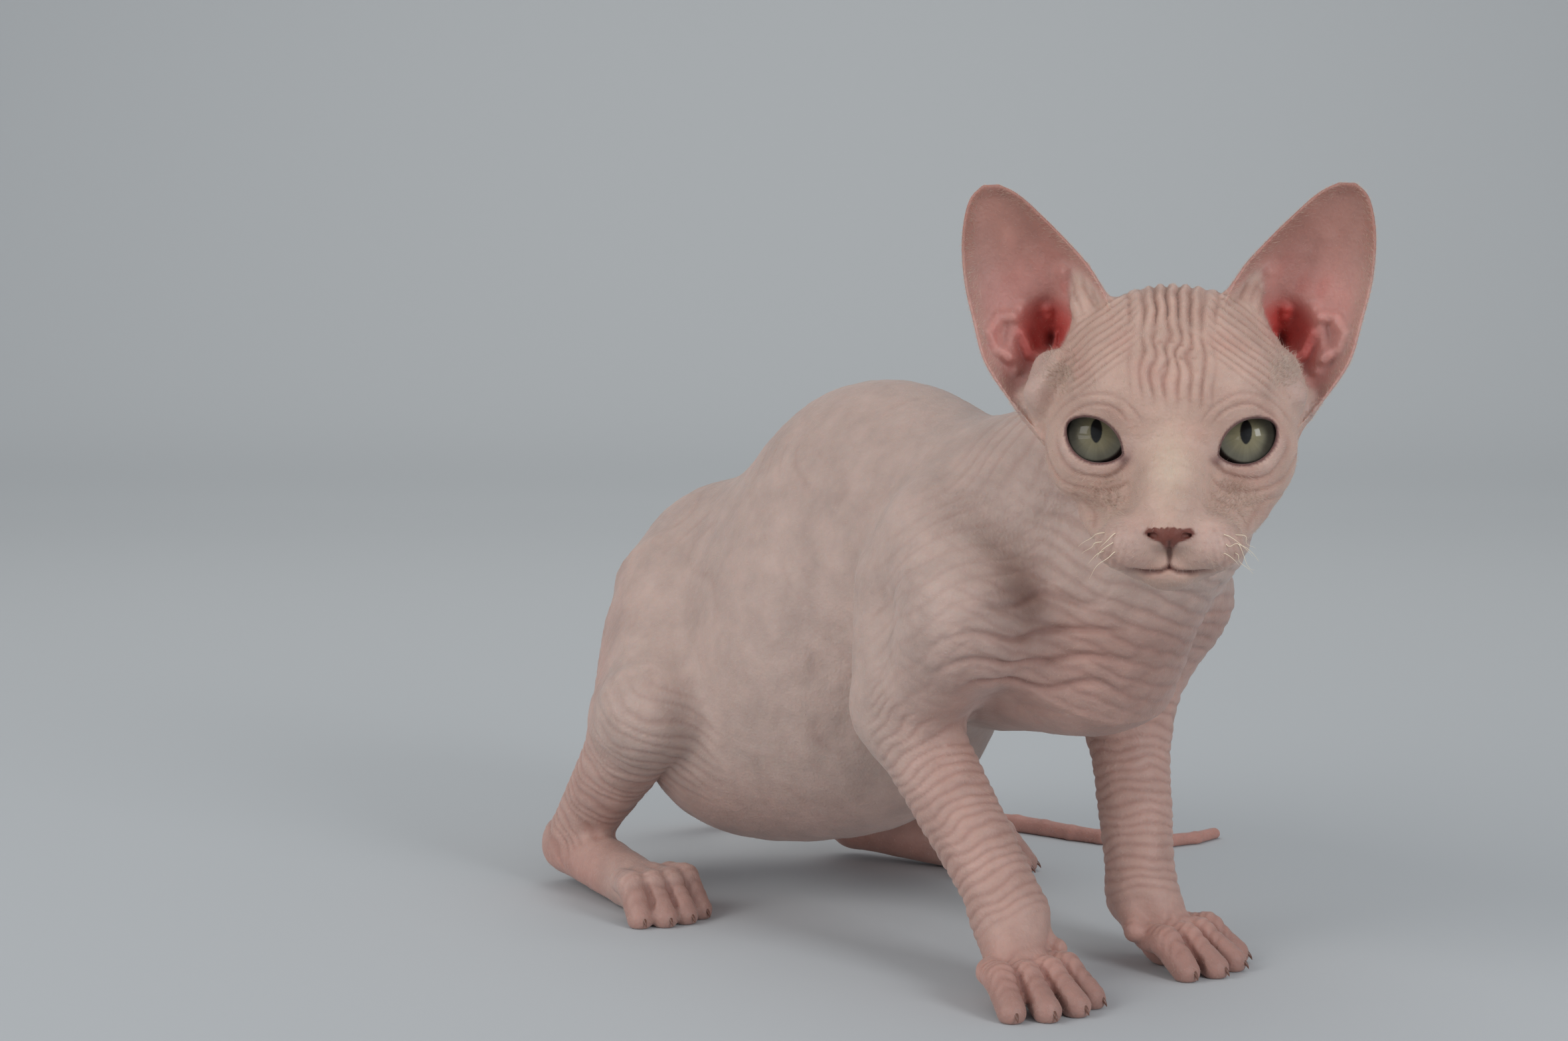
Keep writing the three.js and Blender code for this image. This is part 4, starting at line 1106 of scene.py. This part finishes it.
def grow(name, spot, n, rgb, length, width, lean, curl, seed, cream=0.6, segments=2):
    draw = np.random.default_rng(seed)
    count = len(spot)
    length = length * draw.uniform(0.6, 1.25, count)
    lie = hair_lie(spot, n)
    side = np.cross(n, lie)
    jitter = draw.normal(size=(count, 1)) * curl
    way = lie * lean + side * jitter + n * (1 - 0.55 * lean)
    way /= np.linalg.norm(way, axis=1)[:, None]
    bent = way + lie * 0.5 + side * draw.normal(size=(count, 1)) * curl
    bent /= np.linalg.norm(bent, axis=1)[:, None]
    stations = np.linspace(0, 1, segments + 1)
    turns = np.arange(3) * 2 * math.pi / 3
    rings = []
    for t in stations[:-1]:
        centre = spot - n * 0.12 + (way * t + (bent - way) * t * t) * length[:, None]
        r = width * (1 - 0.8 * t)
        for a in turns:
            rings.append(centre + r * (math.cos(a) * side + math.sin(a) * np.cross(way, side)))
    rings.append(spot + bent * length[:, None])
    per = 3 * segments + 1
    verts = np.stack(rings, 1).reshape(-1, 3)
    tris = []
    for s in range(segments - 1):
        for j in range(3):
            a, b, c, d = 3 * s + j, 3 * s + (j + 1) % 3, 3 * s + 3 + (j + 1) % 3, 3 * s + 3 + j
            tris += [(a, b, c), (a, c, d)]
    last = 3 * (segments - 1)
    tris += [(last + j, last + (j + 1) % 3, per - 1) for j in range(3)]
    faces = (np.arange(count)[:, None, None] * per + np.array(tris)[None]).reshape(-1, 3)
    fuzz = piece_from(name, verts, faces)
    pale = rgb * (1 - cream) + tone(242, 228, 208) * cream
    keep_colour(fuzz, np.repeat(pale, per, 0))
    at = unwrap(spot, n)
    uv = (at[:, None] + patch_of(per)[None]).reshape(-1, 2)
    layer = fuzz.data.uv_layers.new(name="OFBake")
    layer.data.foreach_set("uv", uv[faces.ravel()].astype(np.float32).ravel())
    fuzz.data.materials.append(down_material)
    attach(fuzz, "root")
    print(name, count, "hairs", len(faces), "triangles")


down_material, down_tree, down_shader = shader("down", Roughness=0.6, Specular_IOR_Level=0.25)
down_tone = down_tree.nodes.new("ShaderNodeAttribute")
down_tone.attribute_name = "tone"
down_tree.links.new(down_tone.outputs["Color"], down_shader.inputs["Base Color"])

# %% [markdown]
# Down is thickest on the bridge, the cheeks, the front and the rims of the ears, the toes and the tail.
# Each region gets its own number of hairs, so that no piece grows too heavy.

# %% Grow the down
no_lid = 1 - np.clip(lid * 2 + nose_area + mouth, 0, 1)
cheek_tuft = np.exp(-(((ax - 15) / 5) ** 2 + ((hz + 14) / 4) ** 2))
ear_tuft = np.exp(-(((ax - 26.5) / 3.5) ** 2 + ((hz - 16) / 4) ** 2))
tufts = cheek_tuft + ear_tuft
face_density = face_part * no_lid * (0.3 + 0.3 * bridge + 1.6 * tufts) * ramp(-hy, -34, -10)
grow("down_face", *scatter(face_density, 5000, 31), 1.3, 0.035, 0.75, 0.5, 41, 0.4)
tuft_density = face_part * no_lid * tufts**1.4 * (hy < 24)
grow("down_tufts", *scatter(tuft_density, 1500, 35), 2.6, 0.06, 0.5, 0.9, 45, 0.35)
ear_edge = ear_part * ramp(-np.abs(rim_gap), -3.0, -0.5)
ear_density = ear_edge + 0.25 * ear_part * (1 - (inner > 0))
grow("down_ears", *scatter(ear_density, 9000, 32), 1.1, 0.035, 0.6, 0.4, 42, 0.6)
body_density = body_part * (z > 1.5) * (1 + 2.0 * tail_part + 1.5 * ramp(-toe_near, -14, -6))
grow("down_body", *scatter(body_density, 20000, 33), 1.0, 0.032, 0.7, 0.3, 43, 0.45)
crown_density = head_part * (1 - ear_part) * no_lid
grow("down_head", *scatter(crown_density, 9000, 34), 0.9, 0.03, 0.7, 0.3, 44, 0.5)

# %% [markdown]
# The whiskers are short, brittle and kinked, as a sphynx's are. Each is a thin tapered tube that starts in
# one of the dots on the whisker pad.

# %% Whiskers
whisker_material, _, whisker_shader = shader("whisker", Roughness=0.4)
whisker_shader.inputs["Base Color"].default_value = (*tone(232, 216, 190), 1)


def pad_point(wx, wz):
    yy = np.linspace(-24, 6, 240, dtype=np.float32)
    f = smooth_head(np.full_like(yy, wx), yy, np.full_like(yy, wz))
    return np.array([wx, yy[np.argmax(f < 0)], wz])


draw = np.random.default_rng(77)
whisker_points, whisker_faces, whisker_uv, start = [], [], [], 0
for side in (1, -1):
    for row in range(3):
        for step in range(2):
            wx = side * (12.2 + 2.6 * step + 0.5 * (row % 2))
            root = pad_point(wx, -21.8 - 2.1 * row)
            length = draw.uniform(3.6, 8)
            t = np.linspace(0, 1, 14)[:, None]
            way = np.array([side * 0.9, -0.35 + 0.25 * step, -0.1 - 0.16 * row + draw.normal() * 0.15])
            way /= np.linalg.norm(way)
            waver = 0.07 * np.sin(t * draw.uniform(5, 10) + draw.uniform(0, 6)) * draw.normal(size=3)
            kink = np.array([0, 0.35, -0.5]) * t**2 + waver
            kink = kink - kink[0]
            path = from_head(root + length * (way * t + kink))
            ring, faces = tube(path, 0.10 * (1 - t[:, 0]) + 0.02, 5)
            whisker_points.append(ring)
            whisker_faces.append(faces + start)
            at = unwrap(from_head(root)[None], np.zeros((1, 3)))
            whisker_uv.append(at + patch_of(len(ring)))
            start += len(ring)
whiskers = piece_from("whiskers", np.vstack(whisker_points), np.vstack(whisker_faces))
whiskers.data.materials.append(whisker_material)
layer = whiskers.data.uv_layers.new(name="OFBake")
at = np.vstack(whisker_uv)[np.vstack(whisker_faces).ravel()]
layer.data.foreach_set("uv", at.astype(np.float32).ravel())
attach(whiskers, "root")
print("whiskers", len(whisker_points))

# %% [markdown]
# The stage is a plain pale floor that sweeps up behind the kitten, so no edge shows. A wide panel at the
# left and a small bright one at the right front stand for windows, and the small one gives the spark in the
# eyes. A weak panel overhead, a low one at the left for light off the floor, one that washes the backdrop
# and an even world fill the rest.

# %% Stage and light
SWEEP = [(-2.2, 0.0), (1.3, 0.0), (1.75, 0.08), (2.05, 0.4), (2.15, 1.0), (2.2, 3.2)]
sweep_line = curve_through([(a, b) for a, b in SWEEP], 60)
sweep_line[:, 1] = np.maximum(sweep_line[:, 1], 0)
rows = []
ahead = np.array([math.sin(VIEW_TURN), math.cos(VIEW_TURN)])
right = np.array([math.cos(VIEW_TURN), -math.sin(VIEW_TURN)])
for s, h in sweep_line:
    for k in (-3.5, 3.5):
        rows.append([*(ahead * s + right * k), h])
rows = np.array(rows) / MM + CENTRE
strips = [(2 * i, 2 * i + 1, 2 * i + 3, 2 * i + 2) for i in range(len(sweep_line) - 1)]
floor = piece_from("stage_floor", rows, strips)
floor_material, _, floor_shader = shader("stage_paint", Roughness=0.9, Specular_IOR_Level=0.1)
floor_shader.inputs["Base Color"].default_value = (*tone(192, 196, 199), 1)
floor.data.materials.append(floor_material)


def panel(name, ahead_m, right_m, up_m, size, power, colour_rgb=(1, 1, 1)):
    data = bpy.data.lights.new(name, "AREA")
    data.shape, data.size, data.size_y = "RECTANGLE", size[0], size[1]
    data.energy, data.color = power, colour_rgb
    lamp = bpy.data.objects.new(name, data)
    spot = np.array([*(ahead * ahead_m + right * right_m), up_m])
    lamp.location = spot
    aim = np.array([0, 0, 0.09]) - spot
    lamp.rotation_euler = Vector(aim).to_track_quat("-Z", "Y").to_euler()
    bpy.context.scene.collection.objects.link(lamp)


panel("window_left", -0.75, -1.1, 0.8, (0.7, 0.9), 7.2, (1.0, 0.985, 0.96))
panel("window_right", -0.8, 0.56, 0.44, (0.3, 0.4), 3.6, (0.97, 0.985, 1.0))
panel("sky_top", 0.1, 0.0, 1.6, (1.6, 1.6), 1.6)
panel("floor_fill", -0.7, -1.0, 0.12, (1.2, 0.22), 1.9)
wash = bpy.data.lights.new("backdrop_wash", "AREA")
wash.size, wash.energy, wash.color = 1.6, 11.5, (1.0, 0.96, 0.9)
wash_lamp = bpy.data.objects.new("backdrop_wash", wash)
wash_lamp.location = (*(ahead * 0.75), 1.7)
wash_lamp.rotation_euler = Vector((*(ahead * 1.35), -1.1)).to_track_quat("-Z", "Y").to_euler()
bpy.context.scene.collection.objects.link(wash_lamp)
world = bpy.data.worlds.new("room")
world.use_nodes = True
world.node_tree.nodes["Background"].inputs["Color"].default_value = (0.86, 0.9, 0.95, 1)
world.node_tree.nodes["Background"].inputs["Strength"].default_value = 0.4
bpy.context.scene.world = world
bpy.context.scene.view_settings.view_transform = "Standard"
print("lights", 5)
